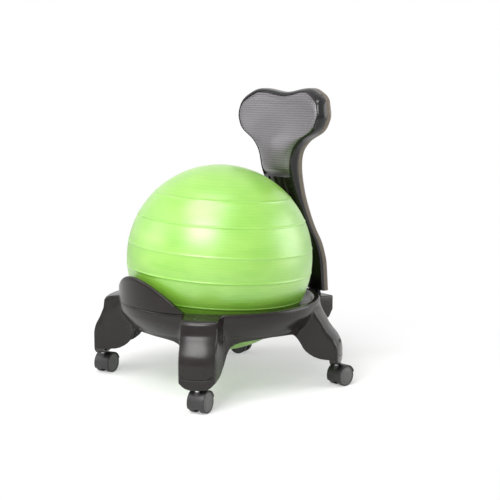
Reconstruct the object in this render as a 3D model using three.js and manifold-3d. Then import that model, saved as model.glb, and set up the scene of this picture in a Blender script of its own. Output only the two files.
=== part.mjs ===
// Balance ball chair: an inflated ball seat held in a four-legged ring on casters,
// with a padded lumbar backrest on a post behind it.
// Millimetres, +Z up, the sitter faces -Y, and the origin is on the floor under the
// middle of the chair's outline.

import * as THREE from 'three';
import { mergeVertices } from 'three/addons/utils/BufferGeometryUtils.js';
import Module from 'manifold-3d';

const wasm = await Module();
wasm.setup();

// Clearances
const fitGap = 0.3; // between pieces that are fixed together
const runGap = 0.5; // between pieces that turn on each other
const seatGap = 0.6; // between the ball and the ring that carries it
const overrun = 10; // how far a cutting shape passes the surface that it cuts

// Ball
const ballRadius = 252;
const ballWall = 2;
const ballTilt = 3.5; // degrees, the moulding axis leans to the right rear
const ballTiltHeading = 125; // degrees round from the front
const ridgeHeight = 1.2;
const ridgeWidth = 6;
const ridgeShares = [0.69, 0.45, 0.16, -0.1, -0.375];
const plugRadius = 4.5;
const plugHeadRadius = 7;
const plugHeadDepth = 1.5;
const plugLength = 14;

// Casters
const wheelRadius = 27.5;
const wheelWidth = 15.5;
const wheelsApart = 15;
const wheelEdge = 2;
const capRadius = 24.5;
const capDepth = 2;
const axleRadius = 3;
const trailLength = 17;
const hoodGap = 1.2;
const hoodWall = 1.8;
const hoodStartAngle = 15; // degrees from the trailing direction, over the axle
const hoodEndAngle = 209; // degrees, over the top and down past the stem
const bossRadius = 7;
const stemRadius = 5.5;
const stemFootRadius = 4;
const sleeveWall = 2.5;
const casterRoom = 3; // between a hood's top and the leg over it
const bossRoom = 5; // between the top of a hood's boss and the leg
const stemBite = 20; // length of stem in the hood's boss
const stemRise = 43; // length of stem in the leg
const legBottomHeight = 2 * wheelRadius + hoodGap + hoodWall + casterRoom;
const hoodHeight = legBottomHeight - bossRoom;
const stemFootHeight = hoodHeight - stemBite;
const stemTopHeight = legBottomHeight + stemRise;

// Ring that holds the ball
const ringMargin = 22; // from the ball's widest circle to the ring's outside
const ringRadius = ballRadius + ringMargin;
const ringHeight = 235;
const mouldingWall = 5;
const ringLandWidth = 11; // flat top that the ball stop stands on
const ringEdge = 4; // rounding of the ring's outer top edge
const ringInnerDrop = 6.5; // fall from the flat top to the edge of the bowl
const bowlSlopeWidth = 40;
const bowlLipWidth = 10.5;
const bowlLipDepth = 22; // height of the lip that follows the ball under the seat
const bowlRadius = ballRadius;
const bowlSeatRadius = bowlRadius - bowlSlopeWidth; // where the ball touches
const bowlLipRadius = bowlSeatRadius - bowlLipWidth;
const ballContactDrop = 31.34; // from the ring's top down to where the ball touches
const ballCentreHeight = ringHeight - ballContactDrop
  + Math.sqrt((ballRadius + seatGap) ** 2 - bowlSeatRadius ** 2);

// Legs
const frontCasterHalfTrack = 247;
const rearCasterHalfTrack = 240;
const frontCasterReach = 232;
const rearCasterReach = 217;
const frontToeRoom = 17.1; // from a stem out to the face of its leg
const rearToeRoom = 14.4;
const frontLegReach = Math.hypot(frontCasterHalfTrack, frontCasterReach) + frontToeRoom;
const rearLegReach = Math.hypot(rearCasterHalfTrack, rearCasterReach) + rearToeRoom;
const legHalfWidth = 48;
const legCorner = 24; // rounding between a leg's outer face and its flanks
const legFilletRadius = 90; // sweep between a leg's flank and the ring
const ringFilletRadius = 30; // the same sweep up at the ring's top edge
const ringBandHeight = 70;
const archHeight = ringHeight - ringBandHeight; // the ring's lower edge between two legs

// Leg outlines: height as a share of ringHeight, reach as a share of the leg's reach
const frontLegShares = [
  [0.243, 0.983], [0.349, 0.998], [0.511, 1], [0.591, 0.996], [0.66, 0.98],
  [0.723, 0.963], [0.83, 0.946], [0.881, 0.937], [0.902, 0.928], [0.911, 0.9],
  [0.923, 0.855], [0.94, 0.8], [0.966, 0.76], [1, 0.7],
];
const rearLegShares = [
  [0.243, 0.988], [0.34, 1], [0.426, 1], [0.502, 0.991], [0.587, 0.962],
  [0.655, 0.92], [0.745, 0.858], [0.843, 0.793], [0.915, 0.763], [0.97, 0.74], [1, 0.71],
];
// Ring wall: height as a share of ringHeight, radius as a share of ringRadius
const wallShares = [
  [0.243, 0.82], [0.64, 0.86], [0.702, 0.887], [0.745, 0.92], [0.795, 0.953],
  [0.843, 0.978], [0.893, 0.995], [0.945, 1], [1, 1],
];
// Lower edge: degrees from the leg's middle, and the share of the way from
// legBottomHeight up to archHeight
const edgeShares = [
  [0, 0], [2.7, 0.005], [4.5, 0.035], [6, 0.085], [7.2, 0.15], [8, 0.18], [8.8, 0.19],
  [9.6, 0.215], [10.5, 0.29], [11.3, 0.37], [12.2, 0.45], [13.5, 0.62], [15, 0.75],
  [17, 0.84], [21, 0.92], [27, 0.96], [42, 1],
];
// Sections round one leg, in degrees from its middle
const sectionAngles = [0, 4.2, 6.6, 8, 9.4, 11.2, 14, 19, 28];
const widestStep = 12.5; // degrees
// Heights of a section's points: shares of ringHeight down to the wall's turn, then
// shares of the way from there to the lower edge
const upperShares = [0.966, 0.94, 0.915, 0.885, 0.82, 0.745];
const lowerShares = [0.22, 0.45, 0.68, 0.87, 1];
const cavityUpperShares = [0.93, 0.86, 0.745];
const cavityLowerShares = [0.5, 1];

// Seam between the front and the rear moulding
const seamPastAngle = 11.21; // degrees from a front leg back to the seam
const frontLegAngle = Math.atan2(frontCasterHalfTrack, frontCasterReach);
const seamAngle = (frontLegAngle * 180) / Math.PI + seamPastAngle;
const flangeDepth = 4;
const flangeRise = 27; // over the ring's lower edge
const flangeHeight = 62;
const flangeMargin = 21; // from the ring's outside
const flangeTop = archHeight + flangeRise;
const flangeFoot = flangeTop - flangeHeight;
const flangeReach = ringRadius - flangeMargin;
const joinBoltRadius = 3;
const joinBoltHeadRadius = 6;
const joinBoltHeadDepth = 4;
const joinBoltInset = 10;
const joinBoltCircle = bowlSeatRadius + joinBoltInset;
const joinBoltHeights = [flangeFoot + joinBoltInset, flangeTop - joinBoltInset];

// Ball stop on the front of the ring
const stopHalfSpan = 37; // degrees
const stopHeight = 78;
const stopOverhang = 2;
const stopBaseDepth = 16;
const stopTopDepth = 6;
const stopLean = 4; // how far the outer face leans in at its highest
const stopCurve = 1.9; // exponent of the crescent's outline
const stopSteps = 14;
const stopScrewAngle = 13.4;
const stopScrewRadius = 2;
const stopScrewHeadRadius = 3.5;
const stopScrewHeadDepth = 2.5;
const stopScrewBite = 11;

// Socket for the post, moulded on the rear of the ring
const socketHalfWidth = 45;
const socketBallRoom = 113; // from the ball's widest circle to the rear face
const socketBackReach = ballRadius + socketBallRoom;
const socketDrop = 32; // under the ring's top
const socketHeight = ringHeight - socketDrop;
const socketDepth = 65;
const socketChamfer = 14;
const socketChamferHeight = 24;
const socketRootDepth = 16; // into the ring
const socketRootReach = ringRadius - socketRootDepth;
const socketEdge = 5;

// Steel bar that carries the backrest
const barHalfWidth = 22;
const barDepth = 10;
const postFootRoom = 16; // open height between the socket and the post
const postFootHeight = socketHeight + postFootRoom;
const barBite = 57; // into the socket
const barRise = 126; // into the post
const barFootHeight = socketHeight - barBite;
const barTopHeight = postFootHeight + barRise;
const barLean = 9.3; // degrees, the top leans to the front
const barCover = 35; // from the socket's rear face to the bar, at the post's lower end
const barReach = socketBackReach - barCover;
const barBoltRadius = 4;
const barBoltHeadRadius = 7;
const barBoltHeadDepth = 4;
const socketBoltOffset = 13; // each side of the middle
const socketBoltDrop = 27; // under the socket's top
const postBoltRise = 31; // of the lower bolt, over the post's lower end
const postBoltPitch = 50;
const postBoltHeights = [0, 1].map((i) => postFootHeight + postBoltRise + i * postBoltPitch);

// Backrest: post and lumbar head in one front and one rear shell, with a pad
const backHeight = 559; // from the post's lower end to the side corners of the top edge
const backTopHeight = postFootHeight + backHeight;
const backBallGap = 5; // least room between the ball and the post
const backHalfWidth = 184.5;
const lobeRise = 19;
const dipRise = 8.5;
const lobeShare = 0.66; // where the lobes peak, as a share of the top row's half width
const rearShellDepth = 16;
const shellWall = 3;
const frontEdge = 12;
const rearEdge = 6;
// Height as a share of the way from postFootHeight to backTopHeight
const backRowShares = [
  // [height, half width, reach of the rear face, depth of the whole backrest]
  [0, 0.244, 0.953, 0.097],
  [0.15, 0.262, 0.928, 0.097],
  [0.193, 0.27, 0.909, 0.097],
  [0.259, 0.287, 0.868, 0.097],
  [0.336, 0.3, 0.799, 0.097],
  [0.424, 0.317, 0.731, 0.099],
  [0.528, 0.336, 0.671, 0.114],
  [0.644, 0.357, 0.628, 0.126],
  [0.69, 0.379, 0.62, 0.126],
  [0.728, 0.42, 0.615, 0.126],
  [0.776, 0.575, 0.62, 0.126],
  [0.826, 0.846, 0.636, 0.126],
  [0.852, 0.921, 0.641, 0.126],
  [0.902, 1, 0.648, 0.126],
  [0.95, 0.965, 0.654, 0.126],
  [0.98, 0.905, 0.663, 0.126],
  [1, 0.835, 0.67, 0.126],
];
const columnShares = [-1, -0.86, -0.66, -0.33, 0, 0.33, 0.66, 0.86, 1];
const riseStartShare = 0.86; // rows above this height bend up to the lobes
const headHollow = 6; // how far the head's middle lies behind its sides

// Pad
const padDepth = 11;
const padEdgeShare = 0.45; // the pad's depth at its border, as a share of padDepth
const padFootShare = 0.644; // height of the pad's lower border, as a backrest share
const padRecessStartShare = 0.63;

// Vent slots in the post's front
const slotWidth = 13;
const slotPitch = 31;
const slotLength = 78;
const slotDrop = 225; // under the corners of the top edge
const slotTopHeight = backTopHeight - slotDrop;
const slotCount = 3;

// Shell screws
const shellScrewRadius = 2;
const shellScrewHeadRadius = 4;
const shellScrewHeadDepth = 2.5;
const shellScrewBite = 10;
const shellBossRadius = 6;
const shellScrewPlaceShares = [[-0.6, 0.9], [0.6, 0.9], [-0.22, 0.7], [0.22, 0.7]];

// Inside a leg's toe
const legBossWall = 4;
const legBossRise = 68; // over the leg's lower edge
const legBossTop = legBottomHeight + legBossRise;
const ribDepth = 3;
const ribTop = stemTopHeight;
const toeFloorDepth = 7;
const toeFloorRoom = 45; // height that the toe's rounded floor lies in
const toeFloorReach = 14; // how far inward of the stem the toe's floor starts

// Round pieces
const ballSegments = 28;
const wheelSegments = 16;
const screwSegments = 8;
const stemSegments = 10;

const rad = THREE.MathUtils.degToRad;
const deg = THREE.MathUtils.radToDeg;
const mix = THREE.MathUtils.lerp;
const smooth = THREE.MathUtils.smoothstep;

const plasticCharcoal = new THREE.MeshStandardMaterial({
  color: '#403b3d', roughness: 0.45, metalness: 0,
});
const plasticGloss = new THREE.MeshStandardMaterial({
  color: '#2c2a2b', roughness: 0.22, metalness: 0,
});
const plasticRear = new THREE.MeshStandardMaterial({
  color: '#6c625e', roughness: 0.35, metalness: 0,
});
const padFabric = new THREE.MeshStandardMaterial({
  color: '#5a5459', roughness: 0.9, metalness: 0,
});
const ballVinyl = new THREE.MeshStandardMaterial({
  color: '#8fdc3c', roughness: 0.35, metalness: 0,
});
const plugVinyl = new THREE.MeshStandardMaterial({
  color: '#e9ece6', roughness: 0.5, metalness: 0,
});
const casterPlastic = new THREE.MeshStandardMaterial({
  color: '#252324', roughness: 0.4, metalness: 0,
});
const capPlastic = new THREE.MeshStandardMaterial({
  color: '#5c5a59', roughness: 0.5, metalness: 0,
});
const sleevePlastic = new THREE.MeshStandardMaterial({
  color: '#1d1c1d', roughness: 0.5, metalness: 0,
});
const steelBright = new THREE.MeshStandardMaterial({
  color: '#b9bbbd', roughness: 0.3, metalness: 1,
});
const steelBlack = new THREE.MeshStandardMaterial({
  color: '#1e1e1f', roughness: 0.4, metalness: 0.6,
});

// A point at an angle round from the front, a radius and a height
function spot(angle, radius, height) {
  return new THREE.Vector3(radius * Math.sin(angle), -radius * Math.cos(angle), height);
}

// Value of a table of [key, value] rows at a key, straight between the rows
function lookUp(rows, key, column = 1) {
  if (key <= rows[0][0]) return rows[0][column];
  for (let i = 1; i < rows.length; i++) {
    const [low, high] = [rows[i - 1], rows[i]];
    if (key <= high[0]) {
      return mix(low[column], high[column], (key - low[0]) / (high[0] - low[0]));
    }
  }
  return rows.at(-1)[column];
}

// The larger, or the smaller, of two lengths with a rounded change between them
function blendMax(a, b, width) {
  const overlap = Math.max(width - Math.abs(a - b), 0) / width;
  return Math.max(a, b) + (overlap * overlap * width) / 4;
}

function blendMin(a, b, width) {
  return -blendMax(-a, -b, width);
}

function geometryFrom(points, triangles) {
  const geometry = new THREE.BufferGeometry();
  const positions = points.flatMap((point) => [point.x, point.y, point.z]);
  geometry.setAttribute('position', new THREE.Float32BufferAttribute(positions, 3));
  geometry.setIndex(triangles);
  return geometry;
}

function solidOf(geometry) {
  const bare = geometry.clone();
  for (const name of ['normal', 'uv']) {
    if (bare.getAttribute(name)) bare.deleteAttribute(name);
  }
  const merged = mergeVertices(bare);
  return new wasm.Manifold(new wasm.Mesh({
    numProp: 3,
    vertProperties: new Float32Array(merged.getAttribute('position').array),
    triVerts: new Uint32Array(merged.getIndex().array),
  }));
}

function geometryOf(solid) {
  const mesh = solid.getMesh();
  const geometry = new THREE.BufferGeometry();
  geometry.setAttribute('position', new THREE.BufferAttribute(mesh.vertProperties, 3));
  geometry.setIndex(new THREE.BufferAttribute(mesh.triVerts, 1));
  return geometry;
}

function meshOf(name, shape, material) {
  const geometry = shape.isBufferGeometry ? shape : geometryOf(shape);
  geometry.computeVertexNormals();
  const mesh = new THREE.Mesh(geometry, material);
  mesh.name = name;
  return mesh;
}

function moved(geometry, position, rotation = new THREE.Euler()) {
  const turn = new THREE.Quaternion().setFromEuler(rotation);
  const place = new THREE.Matrix4().compose(position, turn, new THREE.Vector3(1, 1, 1));
  return geometry.clone().applyMatrix4(place);
}

// A cylinder between two points
function rod(start, end, radius, segments = screwSegments) {
  const along = new THREE.Vector3().subVectors(end, start);
  const geometry = new THREE.CylinderGeometry(radius, radius, along.length(), segments);
  const turn = new THREE.Quaternion().setFromUnitVectors(
    new THREE.Vector3(0, 1, 0), along.clone().normalize(),
  );
  geometry.applyQuaternion(turn);
  const middle = start.clone().addScaledVector(along, 1 / 2);
  return geometry.translate(middle.x, middle.y, middle.z);
}

// A turned piece about the line from start along direction; the outline's points are
// [radius, distance along the line], from the axis back to the axis
function turned(outline, start, direction, segments) {
  const points = outline.map(([radius, along]) => new THREE.Vector2(radius, along));
  const geometry = new THREE.LatheGeometry(points, segments);
  const turn = new THREE.Quaternion().setFromUnitVectors(
    new THREE.Vector3(0, 1, 0), direction.clone().normalize(),
  );
  geometry.applyQuaternion(turn);
  return geometry.translate(start.x, start.y, start.z);
}

// A screw whose head lies behind start and whose shank runs along direction
function screw(start, direction, shankRadius, shankLength, headRadius, headDepth) {
  const outline = [
    [0, -headDepth], [headRadius, -headDepth], [headRadius, 0],
    [shankRadius, 0], [shankRadius, shankLength], [0, shankLength],
  ];
  return turned(outline, start, direction, screwSegments);
}

// A solid ring from closed loops of points set one after another round an axis
function loopRing(loops) {
  const size = loops[0].length;
  const triangles = [];
  for (let i = 0; i < loops.length; i++) {
    const next = (i + 1) % loops.length;
    for (let j = 0; j < size; j++) {
      const k = (j + 1) % size;
      const [a, b] = [i * size + j, i * size + k];
      const [c, d] = [next * size + j, next * size + k];
      triangles.push(a, c, b, b, c, d);
    }
  }
  return geometryFrom(loops.flat(), triangles);
}

// A solid from rows of closed loops, closed at both ends by fans
function loopStack(loops) {
  const size = loops[0].length;
  const points = loops.flat();
  const triangles = [];
  for (let i = 0; i + 1 < loops.length; i++) {
    for (let j = 0; j < size; j++) {
      const k = (j + 1) % size;
      const [a, b] = [i * size + j, i * size + k];
      const [c, d] = [a + size, b + size];
      triangles.push(a, c, b, b, c, d);
    }
  }
  for (const [loop, first] of [[loops[0], true], [loops.at(-1), false]]) {
    const base = first ? 0 : (loops.length - 1) * size;
    const hub = points.length;
    const centre = new THREE.Vector3();
    loop.forEach((point) => centre.addScaledVector(point, 1 / size));
    points.push(centre);
    for (let j = 0; j < size; j++) {
      const [a, b] = [base + j, base + ((j + 1) % size)];
      triangles.push(...(first ? [hub, a, b] : [hub, b, a]));
    }
  }
  return geometryFrom(points, triangles);
}

// Legs, each with the direction it points in and the outline that it follows
const legs = [];
for (const [end, y, halfTrack, reach, shares] of [
  ['front', -frontCasterReach, frontCasterHalfTrack, frontLegReach, frontLegShares],
  ['rear', rearCasterReach, rearCasterHalfTrack, rearLegReach, rearLegShares],
]) {
  for (const [side, x] of [['right', -halfTrack], ['left', halfTrack]]) {
    const angle = Math.atan2(x, -y);
    legs.push({ name: `${end}_${side}`, x, y, angle, reach, shares });
  }
}

function angleBetween(a, b) {
  const turn = Math.abs(a - b) % (2 * Math.PI);
  return Math.min(turn, 2 * Math.PI - turn);
}

// How far one leg reaches from the ball's axis at an angle and a height
function legRadius(leg, angle, height) {
  const away = angleBetween(angle, leg.angle);
  if (away >= Math.PI / 2) return 0;
  const face = (lookUp(leg.shares, height / ringHeight) * leg.reach) / Math.cos(away);
  const flank = legHalfWidth / Math.max(Math.sin(away), legHalfWidth / (2 * leg.reach));
  return blendMin(face, flank, legCorner);
}

// Outer surface of the base, as a radius at an angle and a height
function skinRadius(angle, height) {
  const share = height / ringHeight;
  const fillet = mix(legFilletRadius, ringFilletRadius, smooth(share, 0.745, 0.966));
  let radius = lookUp(wallShares, share) * ringRadius;
  for (const leg of legs) {
    radius = blendMax(radius, legRadius(leg, angle, height), fillet);
  }
  return radius;
}

// The base's lower edge
function edgeHeight(angle) {
  const away = Math.min(...legs.map((leg) => deg(angleBetween(angle, leg.angle))));
  return mix(legBottomHeight, archHeight, lookUp(edgeShares, away));
}

function skinPoint(angle, height) {
  return spot(angle, skinRadius(angle, height), height);
}

// The same surface moved in by a wall
function innerPoint(angle, height, wall) {
  const turn = rad(0.5);
  const step = ringHeight / 500;
  const along = skinPoint(angle + turn, height).sub(skinPoint(angle - turn, height));
  const up = skinPoint(angle, height + step).sub(skinPoint(angle, height - step));
  const outward = along.cross(up).normalize();
  return skinPoint(angle, height).addScaledVector(outward, -wall);
}

// Angles all round the base, close together where its outline turns round a leg
const turns = legs.flatMap((leg) => sectionAngles.flatMap((away) => {
  const step = rad(away);
  return away === 0 ? [leg.angle] : [leg.angle - step, leg.angle + step];
}));
turns.push(0, Math.PI / 2, Math.PI, -Math.PI / 2);
turns.sort((a, b) => a - b);
// Wide gaps get a section in their middle, which keeps the ring round
const anglesRound = turns.flatMap((angle, i) => {
  const next = turns[i + 1] ?? turns[0] + 2 * Math.PI;
  return next - angle > rad(widestStep) ? [angle, (angle + next) / 2] : [angle];
});

function seatHeight(radius) {
  const reach = ballRadius + seatGap;
  return ballCentreHeight - Math.sqrt(reach * reach - radius * radius);
}

const turnHeight = upperShares.at(-1) * ringHeight;
const landOuter = ringRadius - ringEdge;
const landInner = landOuter - ringLandWidth;
const bowlEdgeHeight = ringHeight - ringInnerDrop;
const lipRootRadius = mix(bowlSeatRadius, bowlLipRadius, 3 / 4);
const lipFootHeight = seatHeight(bowlSeatRadius) - bowlLipDepth;

// Section of the base's outer solid, from the lower edge up the outside, over the ring
// and down the bowl to the inner side
function outerSection(angle) {
  const edge = edgeHeight(angle);
  const heights = [
    ...lowerShares.map((share) => mix(turnHeight, edge, share)).reverse(),
    ...upperShares.map((share) => share * ringHeight).reverse(),
  ];
  const outside = heights.map((height) => skinPoint(angle, height));
  const seat = seatHeight(bowlSeatRadius);
  const top = [
    [ringRadius - ringEdge / 4, ringHeight - ringEdge],
    [landOuter, ringHeight],
    [landInner, ringHeight],
    [mix(landInner, bowlRadius, 0.6), ringHeight - ringInnerDrop / 3],
    [bowlRadius, bowlEdgeHeight],
    [mix(bowlRadius, bowlSeatRadius, 0.15), mix(bowlEdgeHeight, seat, 0.3)],
    [bowlSeatRadius, seat],
    [lipRootRadius, seatHeight(lipRootRadius)],
    [bowlLipRadius, seatHeight(lipRootRadius) - mouldingWall],
    [bowlLipRadius, edge],
  ].map(([radius, height]) => spot(angle, radius, height));
  return [...outside, ...top];
}

// Section of the hollow under the base, open at the bottom
function cavitySection(angle) {
  const edge = edgeHeight(angle);
  const foot = legBottomHeight - overrun;
  const heights = [
    ...cavityLowerShares.map((share) => mix(turnHeight, edge, share)).reverse(),
    ...cavityUpperShares.map((share) => share * ringHeight).reverse(),
  ];
  const wall = heights.map((height) => innerPoint(angle, height, mouldingWall));
  const bottom = innerPoint(angle, edge, mouldingWall).setZ(foot);
  const drop = mouldingWall;
  const seat = seatHeight(bowlSeatRadius);
  const under = [
    [landOuter - drop / 5, ringHeight - drop],
    [landInner, ringHeight - drop],
    [bowlRadius + drop / 4, bowlEdgeHeight - drop],
    [bowlRadius - drop / 2, mix(bowlEdgeHeight, seat, 0.3) - drop],
    [bowlSeatRadius + drop * 0.7, seat - drop * 0.8],
    [lipRootRadius + drop, seatHeight(lipRootRadius) - drop / 2],
    [lipRootRadius + drop / 2, lipFootHeight],
    [bowlLipRadius - overrun, lipFootHeight],
    [bowlLipRadius - overrun, foot],
  ].map(([radius, height]) => spot(angle, radius, height));
  return [bottom, ...wall, ...under];
}

const outerSolid = solidOf(loopRing(anglesRound.map(outerSection)));
const cavitySolid = solidOf(loopRing(anglesRound.map(cavitySection)));
const undersideSolid = outerSolid.subtract(outerSolid.translate([0, 0, toeFloorDepth]));

// The pie-shaped space between two angles, moved out along its middle
function wedge(halfAngle, shift, middle = 0) {
  const size = 2 * Math.max(frontLegReach, socketBackReach);
  const shape = new THREE.Shape();
  const steps = 6;
  shape.moveTo(0, 0);
  for (let i = 0; i <= steps; i++) {
    const angle = mix(-halfAngle, halfAngle, i / steps);
    shape.lineTo(size * Math.sin(angle), -size * Math.cos(angle));
  }
  const geometry = new THREE.ExtrudeGeometry(shape, {
    depth: 2 * ringHeight, bevelEnabled: false,
  });
  geometry.translate(0, -shift, -ringHeight / 2);
  return solidOf(geometry.rotateZ(middle));
}

// What stands inside a leg's toe: its floor, the boss for the sleeve and a rib
const sleeveRadius = stemRadius + runGap + sleeveWall;
function toeCore(leg) {
  const bossOuter = sleeveRadius + fitGap + legBossWall;
  const along = Math.hypot(leg.x, leg.y);
  const middle = rad(180) - leg.angle;
  const local = (geometry) => solidOf(geometry.rotateZ(-middle));
  const floorLength = leg.reach - along + toeFloorReach;
  const floorTop = legBottomHeight + toeFloorRoom;
  const floor = new THREE.BoxGeometry(2 * legHalfWidth, floorLength, floorTop);
  floor.translate(0, leg.reach - floorLength / 2, floorTop / 2);
  const boss = new THREE.CylinderGeometry(bossOuter, bossOuter, legBossTop, stemSegments);
  boss.rotateX(Math.PI / 2).translate(0, along, legBossTop / 2);
  const across = new THREE.BoxGeometry(2 * legHalfWidth - mouldingWall, ribDepth, ribTop);
  across.translate(0, along, ribTop / 2);
  return local(floor).intersect(undersideSolid).add(local(boss)).add(local(across))
    .intersect(outerSolid);
}

function sleeveBore(leg) {
  const start = new THREE.Vector3(leg.x, leg.y, 0);
  const end = start.clone().setZ(stemTopHeight + 2 * fitGap);
  return solidOf(rod(start, end, sleeveRadius + fitGap, stemSegments));
}

// The lug inside a moulding, beside the seam, that the join bolts pass through
function lug(side, towardFront) {
  const length = flangeReach - bowlLipRadius - mouldingWall;
  const height = flangeTop - flangeFoot;
  const offset = (fitGap / 2 + flangeDepth / 2) * (towardFront ? -1 : 1) * side;
  const box = new THREE.BoxGeometry(flangeDepth, length, height);
  box.translate(offset, -flangeReach + length / 2, flangeFoot + height / 2);
  return solidOf(box.rotateZ(side * rad(seamAngle)));
}

const joinBolts = [];
for (const side of [-1, 1]) {
  const angle = side * rad(seamAngle);
  const across = new THREE.Vector3(Math.cos(angle), Math.sin(angle), 0)
    .multiplyScalar(side);
  joinBoltHeights.forEach((height, i) => {
    const start = spot(angle, joinBoltCircle, height)
      .addScaledVector(across, -flangeDepth - (3 / 2) * fitGap);
    const length = 2 * flangeDepth + 3 * fitGap + 2 * joinBoltHeadDepth;
    const name = `join_bolt_${side < 0 ? 'right' : 'left'}_${i + 1}`;
    joinBolts.push({ name, start, across, length });
  });
}

const stopSeatRadius = landOuter - ringLandWidth / 2;
const stopFoot = ringHeight + fitGap;
const stopScrews = [-1, 1].map((side) => {
  const height = ringHeight - mouldingWall - fitGap;
  const start = spot(side * rad(stopScrewAngle), stopSeatRadius, height);
  return { name: `stop_screw_${side < 0 ? 'right' : 'left'}`, start };
});

const barDirection = new THREE.Vector3(0, -Math.sin(rad(barLean)), Math.cos(rad(barLean)));
function barMiddle(height) {
  return barReach - (height - postFootHeight) * Math.tan(rad(barLean));
}
// The bar, or the room that it needs with a clearance all round and, where a shell is
// put on from the front, open to the rear
function barGeometry(gap, lengthen = 0, openDepth = 0) {
  const length = (barTopHeight - barFootHeight) / Math.cos(rad(barLean)) + 2 * lengthen;
  const box = new THREE.BoxGeometry(
    2 * (barHalfWidth + gap), barDepth + 2 * gap + openDepth, length,
  );
  box.translate(0, openDepth / 2, 0);
  const height = (barTopHeight + barFootHeight) / 2;
  return moved(box, new THREE.Vector3(0, barMiddle(height), height),
    new THREE.Euler(rad(barLean), 0, 0));
}

const backward = new THREE.Vector3(0, 1, 0);
const forward = new THREE.Vector3(0, -1, 0);
const barBoltSink = barBoltHeadDepth + 2 * fitGap;
const socketBoltHeight = socketHeight - socketBoltDrop;
const socketBolts = [-1, 1].map((side) => ({
  name: `socket_bolt_${side < 0 ? 'right' : 'left'}`,
  start: new THREE.Vector3(
    side * socketBoltOffset, socketBackReach - barBoltSink, socketBoltHeight,
  ),
}));

function socketSolid() {
  const foot = socketHeight - socketDepth;
  const outline = new THREE.Shape();
  outline.moveTo(socketRootReach, foot);
  outline.lineTo(socketBackReach - socketChamfer, foot);
  outline.lineTo(socketBackReach, foot + socketChamferHeight);
  outline.lineTo(socketBackReach, socketHeight - socketEdge);
  outline.quadraticCurveTo(
    socketBackReach, socketHeight, socketBackReach - socketEdge, socketHeight,
  );
  outline.lineTo(socketRootReach, socketHeight);
  const block = new THREE.ExtrudeGeometry(outline, {
    depth: 2 * socketHalfWidth, bevelEnabled: false, curveSegments: 3,
  });
  // The outline's x runs to the rear and its y runs up
  block.rotateX(Math.PI / 2).rotateZ(Math.PI / 2).translate(socketHalfWidth, 0, 0);
  block.translate(-2 * socketHalfWidth, 0, 0);
  return solidOf(block);
}

function boltRoom(bolt, direction, shankLength, headRadius, shankRadius, sink) {
  const shankEnd = bolt.start.clone().addScaledVector(direction, shankLength);
  const headEnd = bolt.start.clone().addScaledVector(direction, -sink - overrun);
  return solidOf(rod(bolt.start.clone().addScaledVector(direction, -overrun), shankEnd,
    shankRadius + fitGap)).add(solidOf(rod(headEnd, bolt.start, headRadius + fitGap)));
}

const socketBoltLength = socketBackReach - barBoltSink + barDepth / 2
  - barMiddle(socketBoltHeight);

function buildBase() {
  const shell = outerSolid.subtract(cavitySolid);
  const front = wedge(rad(seamAngle), fitGap / 2 / Math.sin(rad(seamAngle)));
  const frontRoom = wedge(rad(seamAngle), -fitGap / 2 / Math.sin(rad(seamAngle)));
  let frontBase = shell.intersect(front);
  let rearBase = shell.subtract(frontRoom);
  for (const side of [-1, 1]) {
    frontBase = frontBase.add(lug(side, true));
    rearBase = rearBase.add(lug(side, false));
  }
  for (const leg of legs) {
    const core = toeCore(leg);
    if (leg.y < 0) frontBase = frontBase.add(core.intersect(front));
    else rearBase = rearBase.add(core);
  }
  rearBase = rearBase.add(socketSolid());
  for (const leg of legs) {
    if (leg.y < 0) frontBase = frontBase.subtract(sleeveBore(leg));
    else rearBase = rearBase.subtract(sleeveBore(leg));
  }
  for (const bolt of joinBolts) {
    const end = bolt.start.clone().addScaledVector(bolt.across, bolt.length + overrun);
    const start = bolt.start.clone().addScaledVector(bolt.across, -overrun);
    const hole = solidOf(rod(start, end, joinBoltRadius + fitGap));
    frontBase = frontBase.subtract(hole);
    rearBase = rearBase.subtract(hole);
  }
  for (const { start } of stopScrews) {
    const end = start.clone().setZ(ringHeight + overrun);
    const low = start.clone().setZ(start.z - overrun);
    frontBase = frontBase.subtract(solidOf(rod(low, end, stopScrewRadius + fitGap)));
  }
  rearBase = rearBase.subtract(solidOf(barGeometry(fitGap, fitGap)));
  for (const bolt of socketBolts) {
    rearBase = rearBase.subtract(boltRoom(
      bolt, forward, socketBoltLength, barBoltHeadRadius, barBoltRadius, barBoltSink,
    ));
  }
  return [
    meshOf('front_base', frontBase, plasticCharcoal),
    meshOf('rear_base', rearBase, plasticCharcoal),
  ];
}

// The crescent that keeps the ball from rolling off the front
function buildBallStop() {
  const half = rad(stopHalfSpan);
  const base = ringRadius + stopOverhang;
  const loops = [];
  for (let i = 0; i <= stopSteps; i++) {
    const share = mix(-1, 1, i / stopSteps);
    const angle = share * half * 0.985;
    const rise = stopHeight * (1 - Math.abs(share * 0.985) ** stopCurve);
    const lift = rise / stopHeight;
    const outerTop = base - stopLean * lift;
    const depth = mix(stopBaseDepth, stopTopDepth, lift);
    const round = stopTopDepth / 3;
    loops.push([
      [base - stopBaseDepth, stopFoot],
      [base, stopFoot],
      [mix(base, outerTop, 0.5), stopFoot + rise / 2],
      [outerTop, stopFoot + rise - Math.min(round, rise / 4)],
      [outerTop - round, stopFoot + rise],
      [outerTop - depth + round, stopFoot + rise],
      [outerTop - depth, stopFoot + rise - Math.min(round, rise / 4)],
    ].map(([radius, height]) => spot(angle, radius, height)));
  }
  let stop = solidOf(loopStack(loops));
  for (const { start } of stopScrews) {
    const end = start.clone().setZ(stopFoot + stopScrewBite + 2 * fitGap);
    stop = stop.subtract(solidOf(rod(start, end, stopScrewRadius + fitGap)));
  }
  return meshOf('ball_stop', stop, plasticCharcoal);
}

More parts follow.
